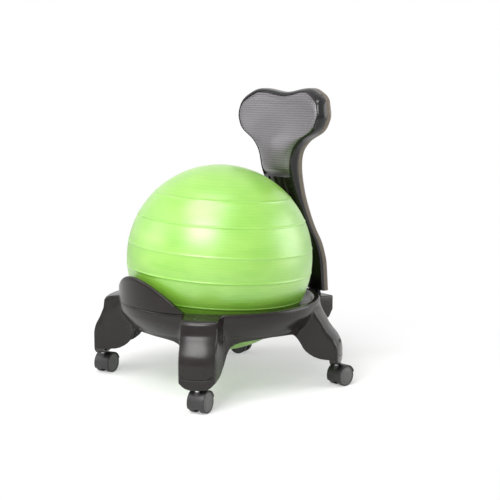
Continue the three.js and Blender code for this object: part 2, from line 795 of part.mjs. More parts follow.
function buildFasteners() {
  const meshes = joinBolts.map(({ name, start, across, length }) => meshOf(name, screw(
    start, across, joinBoltRadius, length, joinBoltHeadRadius, joinBoltHeadDepth,
  ), steelBlack));
  const up = new THREE.Vector3(0, 0, 1);
  for (const { name, start } of stopScrews) {
    const length = stopFoot + stopScrewBite - start.z;
    meshes.push(meshOf(name, screw(
      start, up, stopScrewRadius, length, stopScrewHeadRadius, stopScrewHeadDepth,
    ), steelBlack));
  }
  for (const { name, start } of socketBolts) {
    meshes.push(meshOf(name, screw(
      start.clone().addScaledVector(forward, -fitGap), forward, barBoltRadius,
      socketBoltLength, barBoltHeadRadius, barBoltHeadDepth,
    ), steelBlack));
  }
  return meshes;
}

// Backrest surfaces. A row is a height share, a column runs from -1 to 1
function backFrame(rowShare) {
  const height = mix(postFootHeight, backTopHeight, rowShare);
  const depth = lookUp(backRowShares, rowShare, 3) * socketBackReach;
  // The front keeps clear of the ball, which the real post does by its bend
  const rise = Math.min(Math.abs(height - ballCentreHeight), ballRadius);
  const clear = Math.sqrt(ballRadius ** 2 - rise ** 2) + backBallGap;
  return {
    height,
    halfWidth: lookUp(backRowShares, rowShare, 1) * backHalfWidth,
    rear: Math.max(lookUp(backRowShares, rowShare, 2) * socketBackReach, clear + depth),
    depth,
  };
}

// Rise of the top edge over its side corners, at a share of its half width
function topRise(share) {
  const away = Math.abs(share);
  if (away > lobeShare) {
    const turn = (1 - away) / (1 - lobeShare);
    return lobeRise * Math.sin((turn * Math.PI) / 2);
  }
  const turn = away / lobeShare;
  return mix(dipRise, lobeRise, (1 - Math.cos(turn * Math.PI)) / 2);
}

// How far the shell's front stands back to take the pad
function padRecess(rowShare) {
  return padDepth * smooth(rowShare, padRecessStartShare, padFootShare);
}

function hollowAt(rowShare, column) {
  const head = smooth(rowShare, 0.7, 0.85);
  return headHollow * head * (1 - column * column);
}

// A point of the backrest at a depth that runs from 0 on the front to 1 on the rear
function backPoint(rowShare, column, inset, depthAt) {
  const frame = backFrame(rowShare);
  const bend = smooth(rowShare, riseStartShare, 1);
  const top = rowShare === 1 ? inset : 0;
  const foot = rowShare === 0 ? inset : 0;
  const height = frame.height + bend * topRise(column) - top + foot;
  const x = column * (frame.halfWidth - inset);
  return new THREE.Vector3(x, depthAt(frame, rowShare, column), height);
}

// A plate between two grids of points, with loops of points round its border between
function plate(rows, columns, layers) {
  const points = [];
  const grids = layers.map(({ inset, depthAt }) => rows.map((row) => columns.map((column) => {
    points.push(backPoint(row, column, inset, depthAt));
    return points.length - 1;
  })));
  const triangles = [];
  const quad = (a, b, c, d) => triangles.push(a, b, c, a, c, d);
  const [front, back] = [grids[0], grids.at(-1)];
  for (let i = 0; i + 1 < rows.length; i++) {
    for (let j = 0; j + 1 < columns.length; j++) {
      quad(front[i][j], front[i][j + 1], front[i + 1][j + 1], front[i + 1][j]);
      quad(back[i][j], back[i + 1][j], back[i + 1][j + 1], back[i][j + 1]);
    }
  }
  const border = (grid) => [
    ...grid[0],
    ...grid.slice(1, -1).map((row) => row.at(-1)),
    ...grid.at(-1).slice().reverse(),
    ...grid.slice(1, -1).map((row) => row[0]).reverse(),
  ];
  for (let k = 0; k + 1 < grids.length; k++) {
    const [near, far] = [border(grids[k]), border(grids[k + 1])];
    for (let i = 0; i < near.length; i++) {
      const next = (i + 1) % near.length;
      quad(near[i], far[i], far[next], near[next]);
    }
  }
  const kept = new Set(triangles);
  const order = new Map();
  const used = points.filter((_, i) => {
    if (kept.has(i)) order.set(i, order.size);
    return kept.has(i);
  });
  return geometryFrom(used, triangles.map((i) => order.get(i)));
}

const allRows = backRowShares.map((row) => row[0]);
const frontAt = (extra) => (frame, row, column) => (
  frame.rear - frame.depth + padRecess(row) + hollowAt(row, column) + extra
);
const seamAt = (extra) => (frame) => frame.rear - rearShellDepth + extra;
const rearAt = (extra) => (frame) => frame.rear + extra;

const postBolts = postBoltHeights.map((height, i) => {
  const share = (height - postFootHeight) / (backTopHeight - postFootHeight);
  const reach = backFrame(share).rear - barBoltSink;
  return {
    name: `post_bolt_${i + 1}`,
    start: new THREE.Vector3(0, reach, height),
    length: reach - barMiddle(height) + barDepth / 2,
  };
});

const shellScrews = shellScrewPlaceShares.map(([column, row], i) => {
  const frame = backFrame(row);
  const sink = shellScrewHeadDepth + 2 * fitGap;
  return {
    name: `shell_screw_${i + 1}`,
    start: new THREE.Vector3(column * frame.halfWidth, frame.rear - sink, frame.height),
    seam: frame.rear - rearShellDepth,
    length: rearShellDepth - sink + shellScrewBite,
  };
});

function slotSolid(index) {
  const x = (index - (slotCount - 1) / 2) * slotPitch;
  const radius = slotWidth / 2;
  const outline = new THREE.Shape();
  const low = -slotLength + radius;
  outline.absarc(x, -radius, radius, 0, Math.PI, false);
  outline.absarc(x, low, radius, Math.PI, 2 * Math.PI, false);
  const depth = backFrame(0.55).depth;
  const geometry = new THREE.ExtrudeGeometry(outline, {
    depth: 4 * depth, bevelEnabled: false, curveSegments: 5,
  });
  // The outline stands up and the cut runs to the rear
  geometry.rotateX(Math.PI / 2);
  geometry.translate(0, backFrame(0.45).rear, slotTopHeight);
  return solidOf(geometry);
}

function buildBackrest() {
  const hollowColumns = [-1, -0.66, -0.22, 0.22, 0.66, 1];
  const frontSolid = solidOf(plate(allRows, columnShares, [
    { inset: frontEdge, depthAt: frontAt(0) },
    { inset: frontEdge / 4, depthAt: frontAt(frontEdge / 3) },
    { inset: 0, depthAt: frontAt(frontEdge) },
    { inset: 0, depthAt: seamAt(-fitGap) },
  ]));
  const hollow = solidOf(plate(allRows.slice(1, -1), hollowColumns, [
    { inset: frontEdge + shellWall, depthAt: frontAt(shellWall) },
    { inset: shellWall, depthAt: frontAt(frontEdge + shellWall) },
    { inset: shellWall, depthAt: seamAt(overrun / 2) },
  ]));
  let frontShell = frontSolid.subtract(hollow);
  for (const { start, seam } of shellScrews) {
    const tip = start.clone().setY(seam + overrun);
    const root = start.clone().setY(seam - shellScrewBite - 2 * shellWall);
    const boss = solidOf(rod(root, tip, shellBossRadius)).intersect(frontSolid);
    frontShell = frontShell.add(boss);
  }
  for (const { start, seam } of shellScrews) {
    const tip = start.clone().setY(seam + overrun);
    const root = start.clone().setY(seam - shellScrewBite - fitGap);
    frontShell = frontShell.subtract(solidOf(rod(root, tip, shellScrewRadius + fitGap)));
  }
  frontShell = frontShell.subtract(solidOf(barGeometry(fitGap, fitGap, rearShellDepth)));
  for (let i = 0; i < slotCount; i++) frontShell = frontShell.subtract(slotSolid(i));

  let rearShell = solidOf(plate(allRows, columnShares, [
    { inset: 0, depthAt: seamAt(0) },
    { inset: 0, depthAt: rearAt(-rearEdge) },
    { inset: rearEdge / 3, depthAt: rearAt(-rearEdge / 4) },
    { inset: rearEdge, depthAt: rearAt(0) },
  ]));
  rearShell = rearShell.subtract(solidOf(barGeometry(fitGap, fitGap)));
  for (const bolt of postBolts) {
    rearShell = rearShell.subtract(boltRoom(
      bolt, forward, bolt.length, barBoltHeadRadius, barBoltRadius, barBoltSink,
    ));
  }
  for (const screwPlace of shellScrews) {
    rearShell = rearShell.subtract(boltRoom(
      screwPlace, forward, screwPlace.length, shellScrewHeadRadius, shellScrewRadius,
      shellScrewHeadDepth,
    ));
  }

  let bar = solidOf(barGeometry(0));
  for (const bolt of [...socketBolts, ...postBolts]) {
    const start = bolt.start.clone().addScaledVector(forward, -overrun);
    const end = bolt.start.clone().addScaledVector(forward, socketBackReach - ringRadius);
    bar = bar.subtract(solidOf(rod(start, end, barBoltRadius + fitGap)));
  }

  const padRows = allRows.filter((row) => row >= padFootShare);
  const crown = (row, column) => {
    const share = (row - padFootShare) / (1 - padFootShare);
    const side = 1 - Math.abs(column) ** 4;
    const rise = Math.min(1, (1 - share) / 0.08);
    return padDepth * mix(padEdgeShare, 1, side * rise);
  };
  const padAt = (frame, row, column) => frontAt(-fitGap - crown(row, column))(frame, row, column);
  // The pad keeps the shell's own border, so that it lies flat on its front
  const round = (padDepth * padEdgeShare) / 2;
  const pad = plate(padRows, columnShares, [
    { inset: frontEdge + round, depthAt: padAt },
    { inset: frontEdge, depthAt: frontAt(-fitGap - round) },
    { inset: frontEdge, depthAt: frontAt(-fitGap) },
  ]);

  const meshes = [
    meshOf('backrest_front_shell', frontShell, plasticGloss),
    meshOf('backrest_rear_shell', rearShell, plasticRear),
    meshOf('backrest_pad', pad, padFabric),
    meshOf('post_bar', bar, steelBlack),
  ];
  for (const { name, start, length } of postBolts) {
    meshes.push(meshOf(name, screw(
      start.clone().addScaledVector(forward, -fitGap), forward, barBoltRadius, length,
      barBoltHeadRadius, barBoltHeadDepth,
    ), steelBlack));
  }
  for (const { name, start, length } of shellScrews) {
    meshes.push(meshOf(name, screw(
      start.clone().addScaledVector(forward, -fitGap), forward, shellScrewRadius, length,
      shellScrewHeadRadius, shellScrewHeadDepth,
    ), steelBlack));
  }
  return meshes;
}

// The seat ball: a thin skin with a plugged hole at its lowest point and low ridges
function buildBall() {
  const hole = plugRadius + fitGap;
  const outline = [];
  const bead = ridgeWidth / 2 / ballRadius;
  const angles = [];
  const holeAngle = Math.asin(hole / ballRadius);
  const steps = 11;
  for (let i = 0; i <= steps; i++) angles.push([mix(0, Math.PI - holeAngle, i / steps), 0]);
  for (const share of ridgeShares) {
    const angle = Math.acos(share);
    angles.push([angle - bead, 0], [angle, ridgeHeight], [angle + bead, 0]);
  }
  angles.sort((a, b) => a[0] - b[0]);
  const kept = angles.filter(([angle, rise], i) => rise > 0 || i === 0
    || i === angles.length - 1 || !ridgeShares.some((share) => (
    Math.abs(Math.acos(share) - angle) < bead * 0.9)));
  for (const [angle, rise] of kept) {
    const radius = ballRadius + rise;
    outline.push([radius * Math.sin(angle), radius * Math.cos(angle)]);
  }
  outline[0][0] = 0;
  const inner = ballRadius - ballWall;
  const innerHole = Math.asin(hole / inner);
  for (let i = steps; i >= 0; i--) {
    const angle = mix(0, Math.PI - innerHole, i / steps);
    outline.push([i === 0 ? 0 : inner * Math.sin(angle), inner * Math.cos(angle)]);
  }
  const centre = new THREE.Vector3(0, 0, ballCentreHeight);
  const up = new THREE.Vector3(0, 0, 1);
  const shell = turned(outline.reverse(), new THREE.Vector3(), up, ballSegments);
  const plugOutline = [
    [0, -ballRadius - plugHeadDepth - fitGap],
    [plugHeadRadius, -ballRadius - plugHeadDepth - fitGap],
    [plugHeadRadius, -ballRadius - fitGap],
    [plugRadius, -ballRadius - fitGap],
    [plugRadius, -ballRadius + plugLength],
    [0, -ballRadius + plugLength],
  ];
  const plug = turned(plugOutline, new THREE.Vector3(), up, screwSegments);
  const tilt = new THREE.Quaternion().setFromAxisAngle(
    spot(rad(ballTiltHeading + 90), 1, 0), rad(ballTilt),
  );
  const place = (geometry) => geometry.applyQuaternion(tilt)
    .translate(centre.x, centre.y, centre.z);
  return [
    meshOf('ball', place(shell), ballVinyl),
    meshOf('ball_plug', place(plug), plugVinyl),
  ];
}

// Twin-wheel casters. Swivel headings are degrees round from the front
const casterHeadings = {
  front_right: 207, front_left: 209, rear_right: 116, rear_left: 188,
};

function hoodSolid() {
  const inner = wheelRadius + hoodGap;
  const outer = inner + hoodWall;
  const halfWidth = wheelsApart / 2 + wheelWidth;
  const fender = new THREE.Shape();
  const [start, end] = [rad(hoodStartAngle), rad(hoodEndAngle)];
  fender.absarc(0, 0, outer, start, end, false);
  fender.absarc(0, 0, inner, end, start, true);
  const options = { bevelEnabled: false, curveSegments: 8 };
  const upright = (geometry) => {
    // Shape x is the trailing direction, shape y is up
    geometry.rotateX(Math.PI / 2).rotateZ(Math.PI / 2);
    return geometry.translate(0, trailLength, wheelRadius);
  };
  const fenderGeometry = upright(new THREE.ExtrudeGeometry(fender, {
    ...options, depth: 2 * halfWidth,
  }).translate(0, 0, -halfWidth));
  const webHalf = wheelsApart / 2 - runGap;
  const web = new THREE.Shape();
  web.absarc(0, 0, inner + hoodWall / 2, start, end, false);
  web.lineTo(axleRadius * 2, -axleRadius * 3);
  const webGeometry = upright(new THREE.ExtrudeGeometry(web, {
    ...options, depth: 2 * webHalf,
  }).translate(0, 0, -webHalf));
  const bossFoot = stemFootHeight - bossRadius;
  const boss = rod(
    new THREE.Vector3(0, 0, bossFoot), new THREE.Vector3(0, 0, hoodHeight), bossRadius,
    stemSegments,
  );
  const axleHole = rod(
    new THREE.Vector3(-overrun - halfWidth, trailLength, wheelRadius),
    new THREE.Vector3(overrun + halfWidth, trailLength, wheelRadius),
    axleRadius + fitGap,
  );
  const stemHole = rod(
    new THREE.Vector3(0, 0, stemFootHeight - fitGap),
    new THREE.Vector3(0, 0, hoodHeight + overrun), stemFootRadius + fitGap, stemSegments,
  );
  return solidOf(fenderGeometry).add(solidOf(webGeometry)).add(solidOf(boss))
    .subtract(solidOf(axleHole)).subtract(solidOf(stemHole));
}

function wheelGeometry(side) {
  const near = (wheelsApart / 2) * side;
  const direction = new THREE.Vector3(side, 0, 0);
  const bore = axleRadius + runGap;
  const recess = capDepth + fitGap;
  const outline = [
    [bore, 0], [wheelRadius, 0],
    [wheelRadius, wheelWidth - wheelEdge], [wheelRadius - wheelEdge, wheelWidth],
    [capRadius + fitGap, wheelWidth - recess], [bore, wheelWidth - recess], [bore, 0],
  ];
  return turned(outline, new THREE.Vector3(near, trailLength, wheelRadius), direction, wheelSegments);
}

function capGeometry(side) {
  const start = new THREE.Vector3(
    side * (wheelsApart / 2 + wheelWidth - capDepth), trailLength, wheelRadius,
  );
  const outline = [
    [0, 0], [capRadius, 0], [capRadius, capDepth * (3 / 4)], [0, capDepth],
  ];
  return turned(outline, start, new THREE.Vector3(side, 0, 0), wheelSegments);
}

const hoodShape = geometryOf(hoodSolid());
function buildCaster(leg) {
  const caster = new THREE.Group();
  caster.position.set(leg.x, leg.y, 0);
  // The local trailing direction is +Y
  caster.rotation.z = rad(casterHeadings[leg.name]) + Math.PI;
  const add = (name, shape, material) => caster.add(
    meshOf(`${leg.name}_${name}`, shape, material),
  );
  add('caster_hood', hoodShape.clone(), casterPlastic);
  const stemFoot = new THREE.Vector3(0, 0, stemFootHeight);
  const neck = hoodHeight + fitGap - stemFootHeight;
  const stemOutline = [
    [0, 0], [stemFootRadius, 0], [stemFootRadius, neck], [stemRadius, neck],
    [stemRadius, stemTopHeight - stemFootHeight - stemRadius / 3],
    [stemRadius * (2 / 3), stemTopHeight - stemFootHeight],
    [0, stemTopHeight - stemFootHeight],
  ];
  add('caster_stem', turned(
    stemOutline, stemFoot, new THREE.Vector3(0, 0, 1), stemSegments,
  ), steelBright);
  const axleHalf = wheelsApart / 2 + wheelWidth - capDepth - 2 * fitGap;
  add('caster_axle', rod(
    new THREE.Vector3(-axleHalf, trailLength, wheelRadius),
    new THREE.Vector3(axleHalf, trailLength, wheelRadius), axleRadius,
  ), steelBright);
  for (const [side, direction] of [['a', -1], ['b', 1]]) {
    add(`wheel_${side}`, wheelGeometry(direction), casterPlastic);
    add(`wheel_cap_${side}`, capGeometry(direction), capPlastic);
  }
  return caster;
}

function buildSleeve(leg) {
  const foot = legBottomHeight + fitGap;
  const inner = stemRadius + runGap;
  const length = stemTopHeight + fitGap - foot;
  const outline = [
    [inner, 0], [sleeveRadius, 0], [sleeveRadius, length], [inner, length], [inner, 0],
  ];
  return meshOf(`${leg.name}_sleeve`, turned(
    outline, new THREE.Vector3(leg.x, leg.y, foot), new THREE.Vector3(0, 0, 1), stemSegments,
  ), sleevePlastic);
}

// The chair, moved so that the origin is under the middle of its outline
const chair = new THREE.Group();
const seat = new THREE.Group();
seat.position.y = -(socketBackReach - (ringRadius + stopOverhang)) / 2;
seat.add(...buildBase(), buildBallStop(), ...buildFasteners());
seat.add(...buildBackrest(), ...buildBall());
for (const leg of legs) seat.add(buildSleeve(leg), buildCaster(leg));
chair.add(seat);

export default chair;
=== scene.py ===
"""Balance ball chair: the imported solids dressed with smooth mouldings, fabric and vinyl.

The chair is an inflated ball that sits in a four-legged ring on casters, with a padded
lumbar backrest on a curved post behind it. Lengths are millimetres in the seat's frame,
whose origin is on the floor under the middle of the ball, until a piece is finished.
"""

from __future__ import annotations

import logging
import math
import sys
from collections.abc import Callable, Sequence
from dataclasses import dataclass, field
from enum import Enum

import bmesh
import bpy
from mathutils import Matrix, Vector

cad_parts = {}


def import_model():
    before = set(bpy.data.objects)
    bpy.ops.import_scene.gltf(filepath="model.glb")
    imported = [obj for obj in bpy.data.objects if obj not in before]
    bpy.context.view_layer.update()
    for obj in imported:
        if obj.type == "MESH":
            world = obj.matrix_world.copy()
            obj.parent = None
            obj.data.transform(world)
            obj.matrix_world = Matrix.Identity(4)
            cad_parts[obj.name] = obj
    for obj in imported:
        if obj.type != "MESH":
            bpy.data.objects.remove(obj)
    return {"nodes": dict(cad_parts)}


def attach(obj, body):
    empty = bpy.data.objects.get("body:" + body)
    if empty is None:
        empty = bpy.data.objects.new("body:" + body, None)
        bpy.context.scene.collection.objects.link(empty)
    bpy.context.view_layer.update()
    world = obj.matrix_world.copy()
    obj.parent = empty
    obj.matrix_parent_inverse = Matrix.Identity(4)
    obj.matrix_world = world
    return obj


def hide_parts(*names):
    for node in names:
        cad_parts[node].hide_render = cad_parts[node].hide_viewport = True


log = logging.getLogger("chair")

MM = 0.001
SEAT_SHIFT = Vector((0.0, -44.5, 0.0))  # from the seat's frame to the chair's
UP = Vector((0.0, 0.0, 1.0))
FORWARD = Vector((0.0, -1.0, 0.0))

FIT_GAP = 0.3  # between pieces that are fixed to each other
RUN_GAP = 0.5  # between pieces that turn in each other
SEAT_GAP = 0.6  # between the ball and its seat
CUT_PAST = 10.0  # how far a cutter runs past what it cuts
SLIVER_AREA = 1e-7  # in square millimetres
SHARP_DEGREES = 25.0  # a plate's edges that turn by more than this are rounded

RING_RADIUS = 274.0
RING_HEIGHT = 235.0
LEG_BOTTOM = 61.0
BALL_RADIUS = 252.0
BALL_HEIGHT = 341.0
POST_REACH = 365.0

Point = tuple[float, float]  # also a pair of sizes or the ends of a range
Point3 = tuple[float, float, float]
BMesh = bmesh.types.BMesh
Tree = bpy.types.NodeTree
Node = bpy.types.Node
Socket = bpy.types.NodeSocket


# Small sums


def mix(low: float, high: float, share: float) -> float:
    """Value a share of the way from low to high."""
    return low + (high - low) * share


def smooth(value: float, low: float, high: float) -> float:
    """Rounded step from 0 at low to 1 at high."""
    share = min(1.0, max(0.0, (value - low) / (high - low)))
    return share * share * (3 - 2 * share)


def blend_max(one: float, other: float, width: float) -> float:
    """Larger of two lengths, with a rounded change between them."""
    overlap = max(width - abs(one - other), 0.0) / width
    return max(one, other) + overlap * overlap * width / 4


def blend_min(one: float, other: float, width: float) -> float:
    """Smaller of two lengths, with a rounded change between them."""
    return -blend_max(-one, -other, width)


def spot(angle: float, radius: float, height: float) -> Vector:
    """Point at an angle round from the front, a radius and a height."""
    return Vector((radius * math.sin(angle), -radius * math.cos(angle), height))


def quarter(steps: int) -> list[Point]:
    """Points of a quarter circle of radius 1, from (1, 0) to (0, 1)."""
    turns = [i / steps * math.pi / 2 for i in range(steps + 1)]
    return [(math.cos(turn), math.sin(turn)) for turn in turns]


class ShareCurve:
    """Smooth curve through a table, with no overshoot between its points."""

    def __init__(self, rows: Sequence[Point]) -> None:
        """Works out the slopes at the table's points.

        Args:
            rows: The table, as keys that rise and their values.
        """
        self.keys = [key for key, _ in rows]
        self.values = [value for _, value in rows]
        gaps = [b - a for a, b in zip(self.keys, self.keys[1:])]
        rises = [(b - a) / gap for a, b, gap in zip(self.values, self.values[1:], gaps)]
        slopes = [rises[0]]
        for before, after in zip(rises, rises[1:]):
            product = before * after
            slopes.append(2 * product / (before + after) if product > 0 else 0.0)
        self.slopes = slopes + [rises[-1]]

    def __call__(self, key: float) -> float:
        """Value at a key, held constant past the table's ends.

        Args:
            key: Where the curve is read.

        Returns:
            The value.
        """
        if key <= self.keys[0]:
            return self.values[0]
        if key >= self.keys[-1]:
            return self.values[-1]
        i = next(i for i, high in enumerate(self.keys[1:]) if key <= high)
        gap = self.keys[i + 1] - self.keys[i]
        share = (key - self.keys[i]) / gap
        rest = 1 - share
        return (
            self.values[i] * rest * rest * (1 + 2 * share)
            + self.values[i + 1] * share * share * (3 - 2 * share)
            + gap * share * rest * (rest * self.slopes[i] - share * self.slopes[i + 1])
        )


# Materials


def linear(code: str) -> tuple[float, float, float, float]:
    """Turns an sRGB colour to linear.

    Args:
        code: Its hex value, such as "#8fdc3c".

    Returns:
        Red, green, blue and an alpha of 1.
    """
    parts = [int(code[i : i + 2], 16) / 255 for i in (1, 3, 5)]
    levels = [p / 12.92 if p <= 0.04045 else ((p + 0.055) / 1.055) ** 2.4 for p in parts]
    return (*levels, 1.0)


def per_metre(size_mm: float) -> float:
    """How often a length in millimetres goes into a metre."""
    return 1 / (size_mm * MM)


def grains(size_mm: float, detail: int) -> dict[str, float]:
    """Settings of a noise whose grains have a real size and so many levels of detail."""
    return {"Scale": per_metre(size_mm), "Detail": detail, "Roughness": 0.55}


def add_node(
    tree: Tree,
    kind: str,
    settings: dict[str, object] | None = None,
    links: dict[str | int, Socket] | None = None,
) -> Node:
    """Adds one node with its settings and links.

    Args:
        tree: The material's or world's tree.
        kind: Blender's name for the kind of node, such as "ShaderNodeMix".
        settings: Values of properties, or of input sockets by name or place.
        links: Output sockets to join to input sockets, by name or place.

    Returns:
        The new node.
    """
    node = tree.nodes.new(kind)
    for key, value in (settings or {}).items():
        if isinstance(key, str) and hasattr(node, key):
            setattr(node, key, value)
        else:
            node.inputs[key].default_value = value
    for key, socket in (links or {}).items():
        tree.links.new(socket, node.inputs[key])
    return node


@dataclass(frozen=True)
class Finish:
    """A material and how its surface was made."""

    name: str
    colour: str
    roughness: float
    ior: float = 1.5
    metallic: float = 0.0

    def material(self) -> bpy.types.Material:
        """Builds the material, or returns it if it is already there.

        Returns:
            The material.
        """
        found = bpy.data.materials.get(self.name)
        if found:
            return found
        made = bpy.data.materials.new(self.name)
        made.use_nodes = True
        tree = made.node_tree
        tree.nodes.clear()
        place = add_node(tree, "ShaderNodeTexCoord").outputs["Object"]
        shader = add_node(tree, "ShaderNodeBsdfPrincipled", {
            "Base Color": linear(self.colour), "Roughness": self.roughness,
            "Metallic": self.metallic, "IOR": self.ior,
        })
        self.dress(tree, place, shader)
        add_node(tree, "ShaderNodeOutputMaterial", links={"Surface": shader.outputs[0]})
        made.diffuse_color = linear(self.colour)
        return made

    def dress(self, tree: Tree, place: Socket, shader: Node) -> None:
        """Adds the surface's detail; each finish has its own.

        Args:
            tree: The material's tree.
            place: The object's coordinates, in metres.
            shader: The shader that is dressed.
        """
        raise NotImplementedError


@dataclass(frozen=True)
class MouldedPlastic(Finish):
    """Polypropylene or ABS from a spark-eroded or polished mould.

    The eye reads a fine even grain that breaks up the highlights, with slow changes of
    gloss where the melt flowed and a paler, rubbed look on the edges.
    """

    grain_mm: float = 1.4  # the real grain is 0.3 mm, drawn coarser so that it shows
    grain_depth_mm: float = 0.05
    flow_mm: float = 60
    worn: str = "#5a5557"
    specular: float = 0.5
    coat: float = 0.0

    def dress(self, tree: Tree, place: Socket, shader: Node) -> None:
        """Adds the flow marks, the rubbed edges and the grain.

        Args:
            tree: The material's tree.
            place: The object's coordinates, in metres.
            shader: The shader that is dressed.
        """
        flow = add_node(tree, "ShaderNodeTexNoise", grains(self.flow_mm, 3), {
            "Vector": place,
        }).outputs[0]
        grain = add_node(tree, "ShaderNodeTexNoise", grains(self.grain_mm, 2), {
            "Vector": place,
        }).outputs[0]
        streaked = add_node(tree, "ShaderNodeMapRange", {
            "From Min": 0.35, "From Max": 0.65, "To Max": 0.25,
        }, {"Value": flow}).outputs[0]
        tone = add_node(tree, "ShaderNodeMix", {
            "data_type": "RGBA", 6: linear(self.colour), 7: linear(self.worn),
        }, {0: streaked}).outputs[2]
        edge = add_node(tree, "ShaderNodeNewGeometry").outputs["Pointiness"]
        rubbed = add_node(tree, "ShaderNodeMapRange", {
            "From Min": 0.52, "From Max": 0.6, "To Max": 0.35,
        }, {"Value": edge}).outputs[0]
        worn = add_node(tree, "ShaderNodeMix", {
            "data_type": "RGBA", 7: linear(self.worn),
        }, {0: rubbed, 6: tone}).outputs[2]
        gloss = add_node(tree, "ShaderNodeMapRange", {
            "From Min": 0.3, "From Max": 0.7,
            "To Min": self.roughness - 0.04, "To Max": self.roughness + 0.05,
        }, {"Value": flow}).outputs[0]
        bump = add_node(tree, "ShaderNodeBump", {
            "Distance": self.grain_depth_mm * MM,
        }, {"Height": grain}).outputs[0]
        tree.links.new(worn, shader.inputs["Base Color"])
        tree.links.new(gloss, shader.inputs["Roughness"])
        tree.links.new(bump, shader.inputs["Normal"])
        shader.inputs["Specular IOR Level"].default_value = self.specular
        shader.inputs["Coat Weight"].default_value = self.coat
        shader.inputs["Coat Roughness"].default_value = 0.12


@dataclass(frozen=True)
class BallVinyl(Finish):
    """Plasticised PVC skin of an inflated ball, rotation moulded.

    The eye reads a soft satin skin that glows a little where light enters it, with faint
    rings left by the mould and a very fine orange peel.
    """

    pale: str = "#92c64c"
    deep: str = "#72b326"
    ring_pitch_mm: float = 7.5
    ring_depth_mm: float = 0.12
    cloud_mm: float = 130
    peel_mm: float = 3.0  # about 1 mm on the real skin, drawn coarser so that it shows
    axis_tilt: Point3 = (0, 0, 0)
    centre: Point3 = (0, 0, 0)

    def dress(self, tree: Tree, place: Socket, shader: Node) -> None:
        """Adds the mould's fine rings, the skin's cloudy colour and the orange peel.

        Args:
            tree: The material's tree.
            place: The object's coordinates, in metres.
            shader: The shader that is dressed.
        """
        leaned = add_node(tree, "ShaderNodeMapping", {
            "vector_type": "TEXTURE", "Location": self.centre, "Rotation": self.axis_tilt,
        }, {"Vector": place}).outputs[0]
        height = add_node(tree, "ShaderNodeSeparateXYZ", links={0: leaned}).outputs[2]
        phase = add_node(tree, "ShaderNodeMath", {
            "operation": "MULTIPLY", 1: 2 * math.pi * per_metre(self.ring_pitch_mm),
        }, {0: height}).outputs[0]
        wave = add_node(tree, "ShaderNodeMath", {"operation": "SINE"}, {0: phase}).outputs[0]
        rings = add_node(tree, "ShaderNodeMapRange", {"From Min": -1}, {"Value": wave}).outputs[0]
        flattened = add_node(tree, "ShaderNodeMapping", {
            "Scale": (1, 1, 3),
        }, {"Vector": leaned}).outputs[0]
        cloud = add_node(tree, "ShaderNodeTexNoise", grains(self.cloud_mm, 3), {
            "Vector": flattened,
        }).outputs[0]
        cloudy = add_node(tree, "ShaderNodeMapRange", {
            "From Min": 0.3, "From Max": 0.7, "To Min": 0.1, "To Max": 0.8,
        }, {"Value": cloud}).outputs[0]
        share = add_node(tree, "ShaderNodeMath", {"operation": "MULTIPLY_ADD", 1: 0.12}, {
            0: rings, 2: cloudy,
        }).outputs[0]
        colour = add_node(tree, "ShaderNodeMix", {
            "data_type": "RGBA", 6: linear(self.deep), 7: linear(self.pale),
        }, {0: share}).outputs[2]
        peel = add_node(tree, "ShaderNodeTexNoise", grains(self.peel_mm, 1), {
            "Vector": place,
        }).outputs[0]
        relief = add_node(tree, "ShaderNodeMath", {"operation": "MULTIPLY_ADD", 1: 0.35}, {
            0: peel, 2: rings,
        }).outputs[0]
        bump = add_node(tree, "ShaderNodeBump", {
            "Strength": 0.6, "Distance": self.ring_depth_mm * MM,
        }, {"Height": relief}).outputs[0]
        tree.links.new(colour, shader.inputs["Base Color"])
        tree.links.new(bump, shader.inputs["Normal"])
        shader.inputs["Subsurface Weight"].default_value = 0.12
        shader.inputs["Subsurface Radius"].default_value = (0.6, 1.0, 0.25)
        shader.inputs["Subsurface Scale"].default_value = 0.012
        shader.inputs["Specular IOR Level"].default_value = 0.8
        shader.inputs["Coat Weight"].default_value = 1.0
        shader.inputs["Coat Roughness"].default_value = 0.36


